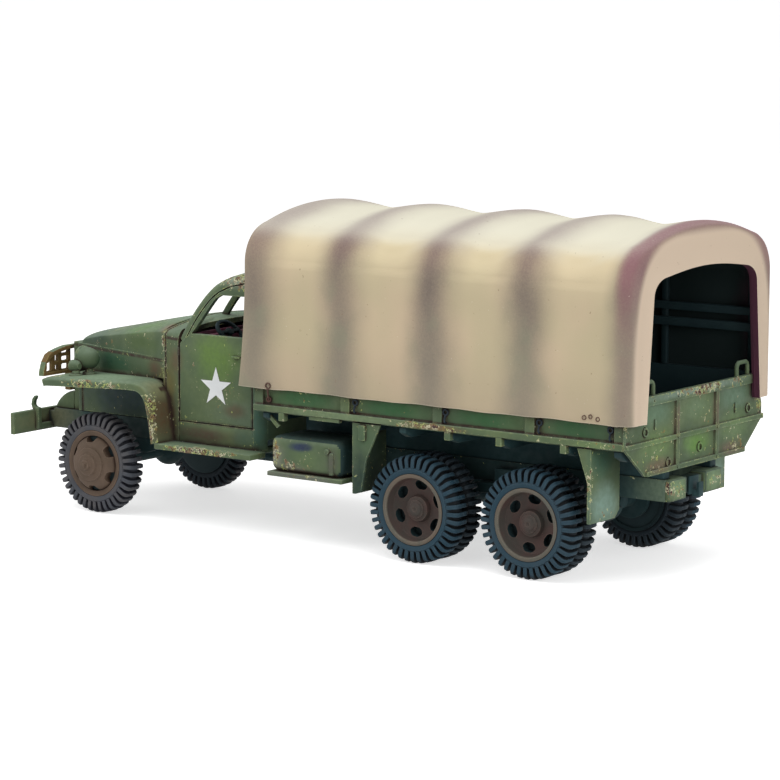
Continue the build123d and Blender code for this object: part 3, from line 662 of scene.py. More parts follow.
# panel lines filled with wash: centre and half size (|x|, y, z) in mm
BODY_SEAMS = (
    ((14.5, -24.92, 22.7), (0.5, 0.02, 6.5)),
    ((14.5, -17.7, 16.28), (0.5, 7.2, 0.02)),
    ((14.5, -10.6, 26.6), (0.5, 0.02, 10.4)),
    ((7.5, -28.3, 22.5), (7.5, 0.04, 9.0)),
    ((7.7, -50.7, 25.1), (1.3, 2.9, 0.02)),
    ((8.5, -45.6, 25.1), (1.1, 2.2, 0.02)),
    ((11.2, -36.2, 25.1), (3.1, 7.2, 0.02)),
    ((14.1, -26.7, 28.8), (0.6, 1.5, 0.02)),
    ((7.5, -51.05, 17.7), (0.4, 0.03, 3.0)),
    ((18.3, 25.0, 21.05), (0.3, 33.0, 0.02)),
    ((13.5, -28.85, 15.2), (2.0, 0.02, 1.6)),
)


def olive_paint(name, base, light, shade, wash, spots=(), chipped=(), seams=(), chips=0.1, wear=0.6):
    """Olive paint: sprayed panels, a painted highlight on upward faces and painted shade on downward ones,
    dark wash in the recesses, worn edges and chips.
    """
    material, n, shader = new_paint(name)
    place = n.both_sides()
    cloud = n.noise(n.place(), 0.11, 3.0)
    colour = n.mix(n.ramp(cloud, 0.35, 0.68), shade, base)
    wobble = n.math("MULTIPLY_ADD", n.noise(n.place(), 0.3, 2.0), 0.5, -0.25)
    for centre, reach, tint, strength in spots:
        mask = n.group(SPOT, Place=place, Wobble=wobble, Centre=centre, Reach=reach)["Mask"]
        colour = n.mix(n.times(mask, strength), colour, rgb(*tint))
    up = n.facing()["Z"]
    # upward faces lighter: painted highlight
    colour = n.mix(n.ramp(up, 0.1, 0.95, 0.0, 0.3), colour, light)
    # downward faces darkened towards blue-black: painted shade under things
    colour = n.mix(n.ramp(up, -0.2, -0.9, 0.0, 0.8), colour, rgb(0.012, 0.025, 0.022))
    colour = n.mix(n.ramp(n.noise(n.place(), 1.6, 3.0), 0.3, 0.7, 0.0, 0.25), colour, shade)
    colour = n.mix(n.group(RECESS, Reach=1.3, Strength=0.9)["Mask"], colour, wash)
    lines = 0.0
    for centre, half in seams:
        lines = n.math("MAXIMUM", lines, n.group(SEAM, Place=place, Centre=centre, Half=half)["Mask"])
    if seams:
        held = n.ramp(n.noise(n.place(), 0.7, 3.0), 0.3, 0.6, 0.55, 0.95)
        colour = n.mix(n.times(lines, held), colour, wash)
    edges = n.group(EDGE_WEAR, Width=0.34, Breaks=wear)
    colour = n.mix(n.times(edges["Edge"], 0.25), colour, light)
    colour = n.mix(n.times(edges["Mask"], 0.75), colour, rgb(0.40, 0.46, 0.20))
    amount = chips
    for centre, reach, strength in chipped:
        mask = n.group(SPOT, Place=place, Wobble=wobble, Centre=centre, Reach=reach)["Mask"]
        amount = n.math("MAXIMUM", amount, n.times(mask, strength))
    flakes = n.group(CHIPS, Amount=amount, Edge=edges["Edge"])
    pale = n.mix(n.ramp(n.noise(n.place(), 0.6, 2.0), 0.4, 0.6), rgb(0.42, 0.48, 0.15), rgb(0.60, 0.57, 0.38))
    colour = n.mix(n.times(flakes["Light"], 0.85), colour, pale)
    colour = n.mix(n.times(flakes["Rust"], 0.8), colour, rgb(0.17, 0.065, 0.028))
    colour = n.mix(flakes["Dark"], colour, rgb(0.055, 0.030, 0.028))
    n.feed(shader.inputs["Base Color"], colour)
    n.relief(shader, 0.25, n.math("ADD", n.noise(n.place(), 5.0, 3.0), flakes["Light"]))
    n.feed(shader.inputs["Roughness"], n.ramp(n.noise(n.place(), 0.8, 3.0), 0.3, 0.7, 0.62, 0.8))
    return material


BODY = olive_paint("olive body paint", rgb(0.115, 0.155, 0.072), rgb(0.26, 0.35, 0.26),
                   rgb(0.075, 0.11, 0.06), rgb(0.035, 0.018, 0.014), BODY_SPOTS, BODY_CHIPPED, BODY_SEAMS)
# chassis paint: a dark blue-green base as painted shade under the bed, olive towards the front and rear ends
CHASSIS_SHADE = olive_paint("chassis paint with painted shade", rgb(0.022, 0.050, 0.048), rgb(0.08, 0.11, 0.085),
                      rgb(0.012, 0.030, 0.030), rgb(0.011, 0.018, 0.018),
                      (((6.0, -57.0, 13.0), (8.0, 7.0, 5.0), (0.13, 0.135, 0.075), 0.9),
                       ((6.0, 58.0, 13.0), (8.0, 9.0, 5.0), (0.13, 0.18, 0.12), 0.9)), chips=-0.2, wear=1.0)
# underside paint: dark blue-green as painted shade under the bed, cab and running gear
UNDERSIDE_SHADE = olive_paint("underside painted shade", rgb(0.021, 0.054, 0.057), rgb(0.05, 0.085, 0.085),
                        rgb(0.011, 0.032, 0.035), rgb(0.010, 0.024, 0.026), chips=-0.5, wear=1.3)


def plain_paint(name, base, other, edge_tint, wash):
    """Brushed paint in two mixed tones, with light edges and dark recesses."""
    material, n, shader = new_paint(name)
    colour = n.mix(n.ramp(n.noise(n.place(), 0.25, 4.0), 0.3, 0.7), base, other)
    colour = n.mix(n.group(RECESS, Reach=1.4, Strength=0.95)["Mask"], colour, wash)
    edges = n.group(EDGE_WEAR, Width=0.25, Breaks=0.4)
    colour = n.mix(n.times(edges["Mask"], 0.6), colour, edge_tint)
    speck = n.ramp(n.noise(n.place(), 2.5, 5.0, 0.7), 0.66, 0.72, 0.0, 0.5)
    colour = n.mix(speck, colour, edge_tint)
    n.feed(shader.inputs["Base Color"], colour)
    n.relief(shader, 0.25, n.noise(n.place(), 6.0, 3.0))
    return material


TYRE_REAR = plain_paint("slate tyre paint", rgb(0.011, 0.038, 0.058), rgb(0.020, 0.044, 0.062),
                        rgb(0.055, 0.09, 0.115), rgb(0.005, 0.009, 0.013))
# near-black blue paint: painted shade on the tyres' inner sides, between the lugs and on the inner rear
# tyres; the tie hooks take it as their dark colour
TYRE_SHADE_AND_DARK = plain_paint("painted tyre shade and dark paint", rgb(0.012, 0.022, 0.030), rgb(0.018, 0.028, 0.036),
                    rgb(0.045, 0.062, 0.075), rgb(0.004, 0.006, 0.008))
TYRE_FRONT = plain_paint("dusty tyre paint", rgb(0.056, 0.062, 0.074), rgb(0.084, 0.080, 0.082),
                         rgb(0.11, 0.115, 0.13), rgb(0.012, 0.013, 0.020))
HUB_FRONT = plain_paint("tan hub paint", rgb(0.090, 0.062, 0.042), rgb(0.120, 0.082, 0.058),
                        rgb(0.24, 0.175, 0.13), rgb(0.028, 0.014, 0.008))
HUB_REAR = plain_paint("rust hub paint", rgb(0.066, 0.037, 0.032), rgb(0.045, 0.040, 0.034),
                       rgb(0.15, 0.10, 0.08), rgb(0.010, 0.006, 0.006))
RIM_WORN = plain_paint("worn rim paint", rgb(0.13, 0.10, 0.075), rgb(0.095, 0.095, 0.078),
                       rgb(0.30, 0.25, 0.20), rgb(0.03, 0.02, 0.015))
MAROON = plain_paint("maroon cab paint", rgb(0.19, 0.06, 0.095), rgb(0.12, 0.045, 0.07),
                     rgb(0.36, 0.20, 0.22), rgb(0.03, 0.012, 0.020))
# near-black paint: painted shade inside the bed and the cover, on the drums and on the wheels' backs; the
# steering wheel takes it as its dark colour
HOLD_SHADE_AND_DARK = plain_paint("painted hold shade and dark paint", rgb(0.009, 0.023, 0.027), rgb(0.013, 0.030, 0.033),
                   rgb(0.018, 0.040, 0.042), rgb(0.007, 0.016, 0.018))
GUARD_BROWN = plain_paint("worn guard paint", rgb(0.12, 0.075, 0.025), rgb(0.16, 0.10, 0.035),
                          rgb(0.34, 0.30, 0.10), rgb(0.05, 0.03, 0.012))
CORD = plain_paint("brown cord paint", rgb(0.10, 0.045, 0.030), rgb(0.05, 0.025, 0.02),
                   rgb(0.22, 0.13, 0.10), rgb(0.015, 0.008, 0.008))
STAR_WHITE = plain_paint("white star paint", rgb(0.78, 0.80, 0.80), rgb(0.70, 0.72, 0.73),
                         rgb(0.82, 0.82, 0.80), rgb(0.25, 0.24, 0.20))


# dark sprayed bands across the cover: y of the middle, half width, strength
COVER_BANDS = ((-6.4, 7.0, 1.0), (9.6, 6.2, 1.0), (26.0, 6.6, 1.1), (41.6, 6.2, 1.0), (58.2, 4.6, 1.0))


def cover_paint():
    """Sand paint with grey-brown bands over the bows, lighter towards the top and a cream crown as painted
    highlight.
    """
    material, n, shader = new_paint("sand cover paint", 0.8)
    place = n.place()
    x, y, z = n.parts(place)
    cloud = n.noise(place, 0.05, 2.0)
    base = n.mix(n.ramp(cloud, 0.38, 0.62), rgb(0.50, 0.425, 0.275), rgb(0.565, 0.445, 0.305))
    base = n.mix(n.ramp(z, 22.0, 34.0, 0.7, 0.0), base, rgb(0.43, 0.345, 0.24))
    # lighter towards the top and cream on the upward-facing crown: painted highlight
    base = n.mix(n.ramp(z, 38.0, 46.0, 0.0, 0.8), base, rgb(0.66, 0.56, 0.36))
    crown = n.times(n.ramp(z, 44.0, 48.5), n.ramp(n.facing()["Z"], 0.45, 0.93))
    base = n.mix(crown, base, rgb(0.74, 0.71, 0.575))
    rear = n.ramp(y, 58.6, 59.1)
    base = n.mix(rear, base, rgb(0.60, 0.48, 0.365))
    wander = n.math("MULTIPLY_ADD", n.noise(place, 0.09, 2.0), 3.2, -1.6)
    bands, core = 0.0, 0.0
    for middle, half, strength in COVER_BANDS:
        away = n.math("ABSOLUTE", n.math("SUBTRACT", n.math("ADD", y, wander), middle))
        bands = n.math("MAXIMUM", bands, n.times(n.ramp(away, half, 0.0), strength))
        core = n.math("MAXIMUM", core, n.times(n.ramp(away, half * 0.55, 0.0), strength))
    spray = n.ramp(n.noise(place, 3.2, 2.0, 0.8), 0.25, 0.75, 0.82, 1.0)
    uneven = n.ramp(n.noise(place, 0.12, 2.0), 0.3, 0.7, 0.75, 1.0)
    bands = n.times(n.times(bands, spray), uneven)
    # how near the cover's outer edge the place is on the rear face, from its half width and height
    reach = n.math("ADD", n.math("POWER", n.math("DIVIDE", n.math("ABSOLUTE", x), 19.6), 4.0),
                   n.math("POWER", n.math("DIVIDE", n.math("SUBTRACT", z, 23.0), 27.3), 4.0))
    border = n.ramp(reach, 0.74, 0.98)
    clean = n.math("SUBTRACT", 1.0, n.times(rear, n.math("SUBTRACT", 1.0, border)))
    bands, core = n.times(bands, clean), n.times(core, clean)
    side_tone = n.mix(n.ramp(z, 26.0, 44.0), rgb(0.23, 0.20, 0.155), rgb(0.17, 0.135, 0.115))
    shoulder = n.times(n.ramp(z, 41.0, 45.5), n.ramp(z, 49.5, 46.5))
    side_tone = n.mix(n.times(shoulder, 0.8), side_tone, rgb(0.17, 0.105, 0.105))
    # the bands' tone is lighter and weaker on the crown: painted highlight
    tone = n.mix(crown, side_tone, rgb(0.32, 0.26, 0.25))
    colour = n.mix(n.times(bands, n.ramp(crown, 0.2, 1.0, 0.92, 0.6)), base, tone)
    colour = n.mix(n.times(n.times(core, spray), 0.45), colour, tone)
    green = n.times(n.ramp(n.noise(place, 0.16, 2.0), 0.5, 0.68), n.ramp(z, 44.0, 38.0))
    colour = n.mix(n.times(green, n.times(bands, 0.5)), colour, rgb(0.24, 0.25, 0.17))
    magenta = n.times(n.ramp(n.math("ABSOLUTE", n.math("SUBTRACT", y, 57.9)), 2.2, 0.3),
                     n.times(n.ramp(z, 33.0, 45.0, 0.2, 1.0), clean))
    magenta = n.times(n.times(magenta, spray), 0.75)
    colour = n.mix(magenta, colour, rgb(0.24, 0.10, 0.125))
    speck = n.ramp(n.noise(place, 2.2, 4.0, 0.7), 0.70, 0.74, 0.0, 0.5)
    colour = n.mix(speck, colour, rgb(0.86, 0.83, 0.72))
    pin = n.ramp(n.noise(place, 1.7, 3.0, 0.6), 0.30, 0.26, 0.0, 0.55)
    colour = n.mix(pin, colour, rgb(0.22, 0.15, 0.09))
    edge = n.group(EDGE_WEAR, Width=0.3, Breaks=0.3)["Edge"]
    colour = n.mix(n.times(edge, 0.35), colour, rgb(0.80, 0.74, 0.58))
    n.feed(shader.inputs["Base Color"], colour)
    n.relief(shader, 0.2, n.noise(place, 4.0, 3.0))
    return material


def cover_inside_paint():
    """Dark purple overspray at the rear lip; nearly black further in as painted shade inside the cover."""
    material, n, shader = new_paint("cover inside paint with painted shade", 0.85)
    place = n.place()
    near_rear = n.math("MULTIPLY_ADD", n.noise(place, 0.15, 3.0), 6.0, n.parts(place)["Y"])
    colour = n.mix(n.ramp(near_rear, 55.5, 63.0), rgb(0.012, 0.022, 0.022), rgb(0.075, 0.022, 0.040))
    n.feed(shader.inputs["Base Color"], colour)
    n.relief(shader, 0.2, n.noise(place, 4.0, 3.0))
    return material


COVER = cover_paint()
COVER_INSIDE = cover_inside_paint()

# ---------------------------------------------------------------- camera, floor and light
camera = bpy.data.objects.new("camera", bpy.data.cameras.new("camera"))
bpy.context.scene.collection.objects.link(camera)
bpy.context.scene.camera = camera
camera.location = (0.357045, 0.263971, 0.08507)
turn = Euler((pi / 2 - 0.14, 0, pi / 2 + 0.628)).to_matrix() @ Matrix.Rotation(0.002, 3, "Z")
camera.rotation_euler = turn.to_euler()
camera.data.lens = 135.715
camera.data.sensor_width = 36
camera.data.shift_x = -0.00123
camera.data.shift_y = -0.00867
camera.data.clip_start = 0.01

bpy.context.scene.view_settings.view_transform = "Standard"


def white_floor():
    """A wide pale floor that shows white where it isn't shaded."""
    floor = added("floor", bpy.ops.mesh.primitive_plane_add, size=24, location=(0, 0, -0.00002))
    material, n, shader = new_paint("pale floor", 0.9)
    shader.inputs["Base Color"].default_value = rgb(0.86, 0.86, 0.86)
    shader.inputs["Emission Color"].default_value = rgb(1, 1, 1)
    n.feed(shader.inputs["Emission Strength"], n.times(n.seen(), 0.62))
    floor.data.materials.append(material)


def soft_lamp(name, place, size, power):
    """A square area light that shines at the middle of the truck."""
    lamp = bpy.data.objects.new(name, bpy.data.lights.new(name, "AREA"))
    bpy.context.scene.collection.objects.link(lamp)
    lamp.location = mm(place)
    lamp.rotation_euler = mm((-place[0], -place[1], 20 - place[2])).to_track_quat("-Z", "Y").to_euler()
    lamp.data.size = size * MM
    lamp.data.energy = power


white_floor()
soft_lamp("top light", (120, 60, 420), 380, 0.95)
soft_lamp("rear light", (200, 460, 180), 280, 0.85)
soft_lamp("front light", (220, -300, 260), 260, 0.5)

world = bpy.data.worlds.new("studio")
bpy.context.scene.world = world
world.use_nodes = True
world.node_tree.nodes.clear()
around = Nodes(world.node_tree)
sky = around.add("ShaderNodeBackground")
# white where the camera sees it, dimmer as light
around.named(sky, Color=rgb(1, 1, 1), Strength=around.math("MULTIPLY_ADD", around.seen(), 0.6, 0.4))
around.feed(around.add("ShaderNodeOutputWorld").inputs[0], sky.outputs[0])


# ---------------------------------------------------------------- tyres and wheels
TYRE_STEPS = 80
LUGS = 40
LUG_WIDTH = 0.64


def tyre(name, inner, outer, y, side):
    """A tyre: a turned carcass with straight cross lugs that run down both shoulders."""
    middle, half = (inner + outer) / 2, (outer - inner) / 2
    wall = ((-half + 0.5, 5.2), (-half + 0.2, 5.28), (-half + 0.05, 5.55), (-half, 5.95),
            (-half + 0.14, 6.1), (-half + 0.55, 6.3), (-half + 0.85, 6.95), (-half + 1.15, 7.25), (0, 7.3))
    carcass = [(middle + x, r) for x, r in wall] + [(middle - x, r) for x, r in wall[-2::-1]]
    carcass = turned(name, carcass + [carcass[0]], y, side, TYRE_STEPS)
    tip = half - 0.02
    lug = ((-0.02, 7.15), (-0.02, 7.9), (tip - 0.8, 7.88), (tip - 0.35, 7.72), (tip - 0.08, 7.35),
           (tip, 6.7), (tip, 6.0), (tip - 0.3, 5.95), (tip - 0.75, 6.4), (tip - 1.0, 7.1))
    rings = []
    for way in (-1, 1):
        points = [(side * (middle + way * x), y - LUG_WIDTH / 2, WHEEL_R + r) for x, r in lug]
        rings.append(all_round(rounded(plate("lug", points, (0, LUG_WIDTH, 0)), 0.11, 1, 50), LUGS, y))
    return smooth(joined(name, *rings, carcass), 40)


# profiles of the wheels: distance from the truck's middle, radius
FRONT_RIM = ((12.1, 4.9), (12.0, 5.3), (14.85, 5.3), (15.02, 5.22), (15.06, 5.1), (15.0, 4.95),
             (14.96, 4.52), (14.9, 4.4), (14.62, 4.37), (14.62, 4.29), (15.0, 4.25), (15.3, 4.08),
             (15.7, 3.7), (15.92, 3.3), (16.02, 2.85), (16.04, 2.74), (16.24, 2.68), (16.33, 2.58),
             (16.4, 2.2), (16.5, 1.95), (16.5, 1.8), (16.72, 1.72), (16.84, 1.6), (16.9, 1.1),
             (16.95, 0.95), (17.2, 0.85), (17.34, 0.74), (17.38, 0.36), (17.55, 0.3), (17.6, 0.14),
             (17.6, 0.0))
REAR_RIM = ((10.9, 4.8), (10.8, 5.3), (17.75, 5.3), (17.98, 5.2), (18.06, 5.05), (18.06, 4.82), (17.98, 4.68),
            (17.75, 4.6), (16.9, 4.5), (16.55, 4.3), (16.35, 3.9), (16.25, 3.2), (16.15, 2.3), (16.15, 2.05),
            (16.3, 1.95), (16.8, 1.8), (16.86, 1.5), (16.92, 1.4), (17.1, 1.32), (17.16, 1.06), (17.3, 0.98),
            (17.38, 0.85), (17.4, 0.35), (17.3, 0.25), (17.3, 0.0))


# holes of the wheels: across, radius
NOTCH = ((-1.0, 4.24), (-0.5, 4.33), (0.5, 4.33), (1.0, 4.24), (0.9, 3.8), (0.6, 3.42), (-0.6, 3.42),
         (-0.9, 3.8))
OVAL = ((-1.1, 3.5), (-0.85, 3.05), (-0.4, 2.82), (0.4, 2.82), (0.85, 3.05), (1.1, 3.5), (0.85, 3.95),
        (0.4, 4.18), (-0.4, 4.18), (-0.85, 3.95))


def wheel(name, rim, bore, y, side, hole, lean):
    """A pressed wheel with six holes, the first one leaning from the upright by an angle."""
    start, end = bore
    back = ((rim[0][0] + 1.2, 4.85), (end - 0.6, 2.2), (start, 1.8), (start, 1.05), (end, 1.05), (end, 0.0))
    piece = turned(name, [*rim[::-1], *back], y, side, 72)
    outline = [(side * 12.5, y + across * cos(lean) + r * sin(lean),
                WHEEL_R + r * cos(lean) - across * sin(lean)) for across, r in hole]
    cutter = plate("hole", outline, (side * 6.0, 0, 0))
    applied(cutter, "BEVEL", width=0.12 * MM, segments=2, limit_method="ANGLE", angle_limit=radians(20))
    cut(piece, all_round(cutter, 6, y))
    return smooth(piece, 30)


def drum(name, back, face, y, side, body):
    """The closed drum and back plate behind a wheel, near-black as painted shade seen through its holes."""
    profile = ((back + 0.15, 1.9), (back, 4.85), (back + 0.15, 5.2), (back + 0.75, 5.25), (back + 1.05, 4.6),
               (face - 0.3, 4.45), (face, 4.2), (face, 2.4), (face - 0.4, 1.9), (back + 0.15, 1.9))
    fitted(smooth(turned(name, profile, y, side, 48), 30), HOLD_SHADE_AND_DARK, body)


def tread_in_shade(x, y, z):
    """Whether a face of an outer rear tyre lies between its lugs or on its far side, where it takes painted
    shade.
    """
    axle = min(AXLES, key=lambda place: abs(place[1] - y))[1]
    return abs(x) < 15.6 or (abs(x) < 17.45 and (y - axle) ** 2 + (z - WHEEL_R) ** 2 < 7.4 ** 2)


for side_name, side in SIDES:
    body, y = f"front_{side_name}_wheel", AXLES[0][1]
    front = tyre(f"tyre_cross_lug_front_{side_name}", 11.8, 15.2, y, side)
    fitted(front, TYRE_FRONT, body, (f"tyre_front_{side_name}",))
    # the front tyre's inner side darker: painted shade
    two_tone(front, TYRE_SHADE_AND_DARK, lambda x, y, z: abs(x) < 12.4)
    disc = wheel(f"disc_wheel_front_{side_name}", FRONT_RIM, (11.1, 14.4), y, side, NOTCH, radians(-3))
    fitted(disc, HUB_FRONT, body, (f"wheel_front_{side_name}",))
    # the wheel's inner side near-black: painted shade
    two_tone(disc, HOLD_SHADE_AND_DARK, lambda x, y, z: abs(x) < 14.1)
    drum(f"drum_front_{side_name}", 11.5, 14.5, y, side, body)
    for place, y in AXLES[1:]:
        body = f"{place}_{side_name}_wheels"
        outer = tyre(f"tyre_outer_{place}_{side_name}", 14.7, 18.1, y, side)
        inner = again(outer, f"tyre_inner_{place}_{side_name}", (-side * 3.6, 0, 0))
        fitted(outer, TYRE_REAR, body, (f"tyres_{place}_{side_name}",))
        two_tone(outer, TYRE_SHADE_AND_DARK, tread_in_shade)
        # the whole inner tyre darker: painted shade
        fitted(inner, TYRE_SHADE_AND_DARK, body)
        dish = wheel(f"dish_wheel_{place}_{side_name}", REAR_RIM, (10.7, 15.2), y, side, OVAL, radians(7))
        fitted(dish, HUB_REAR, body, (f"wheel_{place}_{side_name}",))
        # the wheel's inner side near-black: painted shade
        two_tone(dish, HOLD_SHADE_AND_DARK, lambda x, y, z: abs(x) < 16.0)
        two_tone(dish, RIM_WORN, lambda x, y, z: abs(x) > 17.6)
        drum(f"drum_{place}_{side_name}", 11.1, 15.0, y, side, body)

# ---------------------------------------------------------------- body pieces
# nodes that are kept in shape and moulded: name, paint, slot, width of the soft edges
MOULDED = (
    ("hood_side_left", BODY, "body_olive", 0.1), ("hood_side_right", BODY, "body_olive", 0.1),
    ("front_apron", BODY, "body_olive", 0.2),
    ("cab_back", BODY, "body_olive", 0.15), ("running_boards", BODY, "body_olive", 0.15),
    ("front_bumper", BODY, "body_olive", 0.15), ("tow_hooks", BODY, "body_olive", 0.1),
    ("chassis_frame", CHASSIS_SHADE, "chassis_olive", 0.12), ("tow_pintle", UNDERSIDE_SHADE, "chassis_olive", 0.1),
    ("cab_floor", BODY, "body_olive", 0.1), ("dashboard", MAROON, "cab_maroon", 0.15),
    ("steering_wheel", HOLD_SHADE_AND_DARK, "cab_maroon", 0.15), ("seat", MAROON, "cab_maroon", 0.4),
    ("bed_floor", UNDERSIDE_SHADE, "body_olive", 0.12), ("bed_front", BODY, "body_olive", 0.12),
    ("bed_side_left", BODY, "body_olive", 0.1), ("bed_side_right", BODY, "body_olive", 0.1),
    ("box_shelves", BODY, "body_olive", 0.12), ("mudflaps", BODY, "body_olive", 0.12),
    ("leaf_springs", UNDERSIDE_SHADE, "chassis_dark", 0.1), ("drive_line", UNDERSIDE_SHADE, "chassis_dark", 0.15),
    ("engine_and_gearbox", UNDERSIDE_SHADE, "chassis_dark", 0.15), ("front_axle", UNDERSIDE_SHADE, "chassis_dark", 0.15),
    # the bows and racks inside the cover take the near-black painted shade
    ("rear_axles", UNDERSIDE_SHADE, "chassis_dark", 0.15), ("canopy_bows", HOLD_SHADE_AND_DARK, "hold_dark", 0.15),
    ("side_racks", HOLD_SHADE_AND_DARK, "hold_dark", 0.12),
)

# faces of a moulded piece inside the bed, near-black as painted shade, or inside the cab, in maroon
INSIDES = {"bed_side_left": (HOLD_SHADE_AND_DARK, lambda x, y, z: x < 18.0 or z > 26.5),
           "bed_side_right": (HOLD_SHADE_AND_DARK, lambda x, y, z: x > -18.0 or z > 26.5),
           "bed_floor": (HOLD_SHADE_AND_DARK, lambda x, y, z: z > 20.7),
           "bed_front": (HOLD_SHADE_AND_DARK, lambda x, y, z: y > -6.0),
           "cab_back": (MAROON, lambda x, y, z: y < -9.6 and abs(x) < 13.7)}

for node, paint, slot, width in MOULDED:
    piece = moulded(node, paint, width)
    if node in INSIDES:
        two_tone(piece, *INSIDES[node])

# ---------------------------------------------------------------- grille and brush guard
# openings of the brush guard, one side: low x, high x, low z, high z
GUARD_HOLES = ((0.3, 2.1, 18.4, 20.7), (0.3, 2.1, 21.2, 24.5), (2.6, 4.4, 18.4, 20.7), (2.6, 4.4, 21.2, 24.5),
               (4.9, 6.7, 18.4, 20.7), (4.9, 6.7, 21.2, 24.5), (7.2, 8.9, 21.2, 22.1), (7.2, 8.9, 22.6, 23.3),
               (7.2, 8.9, 23.8, 24.3), (9.7, 10.4, 21.2, 22.1), (9.7, 10.4, 22.6, 23.8),
               (11.2, 12.9, 21.2, 22.7))
# left half of the guard's outline and of the hollow behind its plate
GUARD = ((7.5, 17.7), (7.5, 20.6), (13.7, 20.6), (13.6, 21.4), (13.1, 22.8), (12.3, 23.9), (11.4, 24.3),
         (9.8, 24.7), (7.9, 25.0))
GUARD_INSIDE = ((6.9, 18.3), (6.9, 21.1), (13.1, 21.1), (12.6, 22.5), (11.9, 23.4), (9.6, 24.1), (7.8, 24.4))
GUARD_Y = -54.85


def across_truck(name, outline, y, depth):
    """A plate across the truck from the left half of its outline."""
    whole = [*outline, *((-x, z) for x, z in outline[::-1])]
    return plate(name, [(x, y, z) for x, z in whole], (0, depth, 0))


def guard_and_grille():
    """The brush guard, a pierced plate with a rim behind it, and the slotted grille."""
    guard = across_truck("moulded_brush_guard", GUARD, GUARD_Y, 0.55)
    rim = across_truck("rim", GUARD, GUARD_Y + 0.5, 0.55)
    cut(rim, across_truck("inside", GUARD_INSIDE, GUARD_Y + 0.3, 1.2))
    cut(guard, rim, "UNION")
    for x0, x1, z0, z1 in GUARD_HOLES:
        for x in ((x0, x1), (-x1, -x0)):
            cut(guard, rounded(block("hole", x, (-55.6, -53.7), (z0, z1)), 0.24, 3))
    stays = [rounded(block("stay", x, (-53.9, -53.3), (z - 0.3, z + 0.3)), 0.08)
             for x in ((6.0, 6.6), (-6.6, -6.0)) for z in (18.0, 24.8)]
    guard = joined("moulded_brush_guard", *stays, rounded(guard, 0.1, 2, 40))
    two_tone(fitted(guard, BODY, nodes=("brush_guard",)), GUARD_BROWN,
             lambda x, y, z: y > -54.6 and abs(x) < 13.2 and 18.2 < z < 24.35)
    grille = block("moulded_radiator_grille", (-6.9, 6.9), (-53.4, -52.2), (14.5, 25.6))
    for i in range(-4, 5):
        slot = block("slot", (1.35 * i - 0.35, 1.35 * i + 0.35), (-53.8, -52.7), (18.2, 24.8))
        cut(grille, rounded(slot, 0.15))
    fitted(rounded(grille, 0.12, 2, 40), BODY, nodes=("radiator_grille",))


guard_and_grille()

# ---------------------------------------------------------------- bonnet, fenders and cab
# sections of the bonnet: y, half width, height of its side, crest height
BONNET = eased(((-53.9, 7.3, 24.9, 25.0), (-53.5, 7.45, 25.8, 26.1), (-52.6, 7.6, 26.2, 26.7),
                (-50.5, 7.8, 26.5, 27.3), (-44.5, 9.3, 27.3, 28.5), (-35.0, 11.9, 28.7, 30.4),
                (-28.85, 13.6, 29.5, 31.35)), 5)
BONNET_STEPS = 48
# steps from the crest at which the upright side and the rolled lower edge begin
BONNET_SIDE, BONNET_LIP = 18, 22
TUCK = 0.15
CREASE = 25.6


def bonnet():
    """The arched bonnet lid, rolled over at the nose and along its two lower edges."""
    def place(i, j):
        y, half, shoulder, crest = BONNET[j]
        k = abs(i - BONNET_STEPS // 2)
        side = 1 if i > BONNET_STEPS / 2 else -1
        foot = min(CREASE, shoulder - 0.1)
        angle = min(1.0, k / BONNET_SIDE) * pi / 2
        x = (half - TUCK) * sin(angle)
        # the nose is curved in plan
        y += 2.6 * (x / half) ** 2 * max(0.0, (-46.0 - y) / 7.9)
        if k > BONNET_LIP:
            return side * half, y, foot - (k - BONNET_LIP) * 0.3
        if k > BONNET_SIDE:
            down = (k - BONNET_SIDE) / (BONNET_LIP - BONNET_SIDE)
            return side * (half - TUCK * (1 - down)), y, shoulder + (foot - shoulder) * down
        return side * x, y, shoulder + (crest - shoulder) * cos(angle) ** 1.1

    piece = sheet_grid("bonnet_lid", BONNET_STEPS + 1, len(BONNET), place)
    walled(piece, BONNET_STEPS // 2 + BONNET_STEPS * 10, 0.6, 0.1)
    fitted(smooth(piece, 50), BODY, nodes=("hood",))


# side view of a fender's top, from its tip to the foot behind the wheel
FENDER_PATH = eased(((-50.4, 21.1), (-49.9, 21.25), (-48.5, 21.35), (-42.0, 21.65), (-36.0, 21.95),
                     (-32.0, 22.1), (-30.0, 21.95), (-28.6, 21.2), (-27.6, 19.8), (-27.1, 18.2),
                     (-26.6, 15.6), (-26.2, 13.0)), 4)
# across a fender: x, how far it lies below the path
FENDER_COLUMNS = ([(6.7, 0.0), (9.0, 0.0), (12.0, 0.0), (13.9, 0.0), (15.4, 0.0), (16.8, 0.03), (17.6, 0.1)]
                  + [(17.85 + 0.45 * sin(a * pi / 12), 0.57 - 0.45 * cos(a * pi / 12)) for a in range(1, 7)]
                  + [(18.3, 0.95), (18.3, 1.3)])


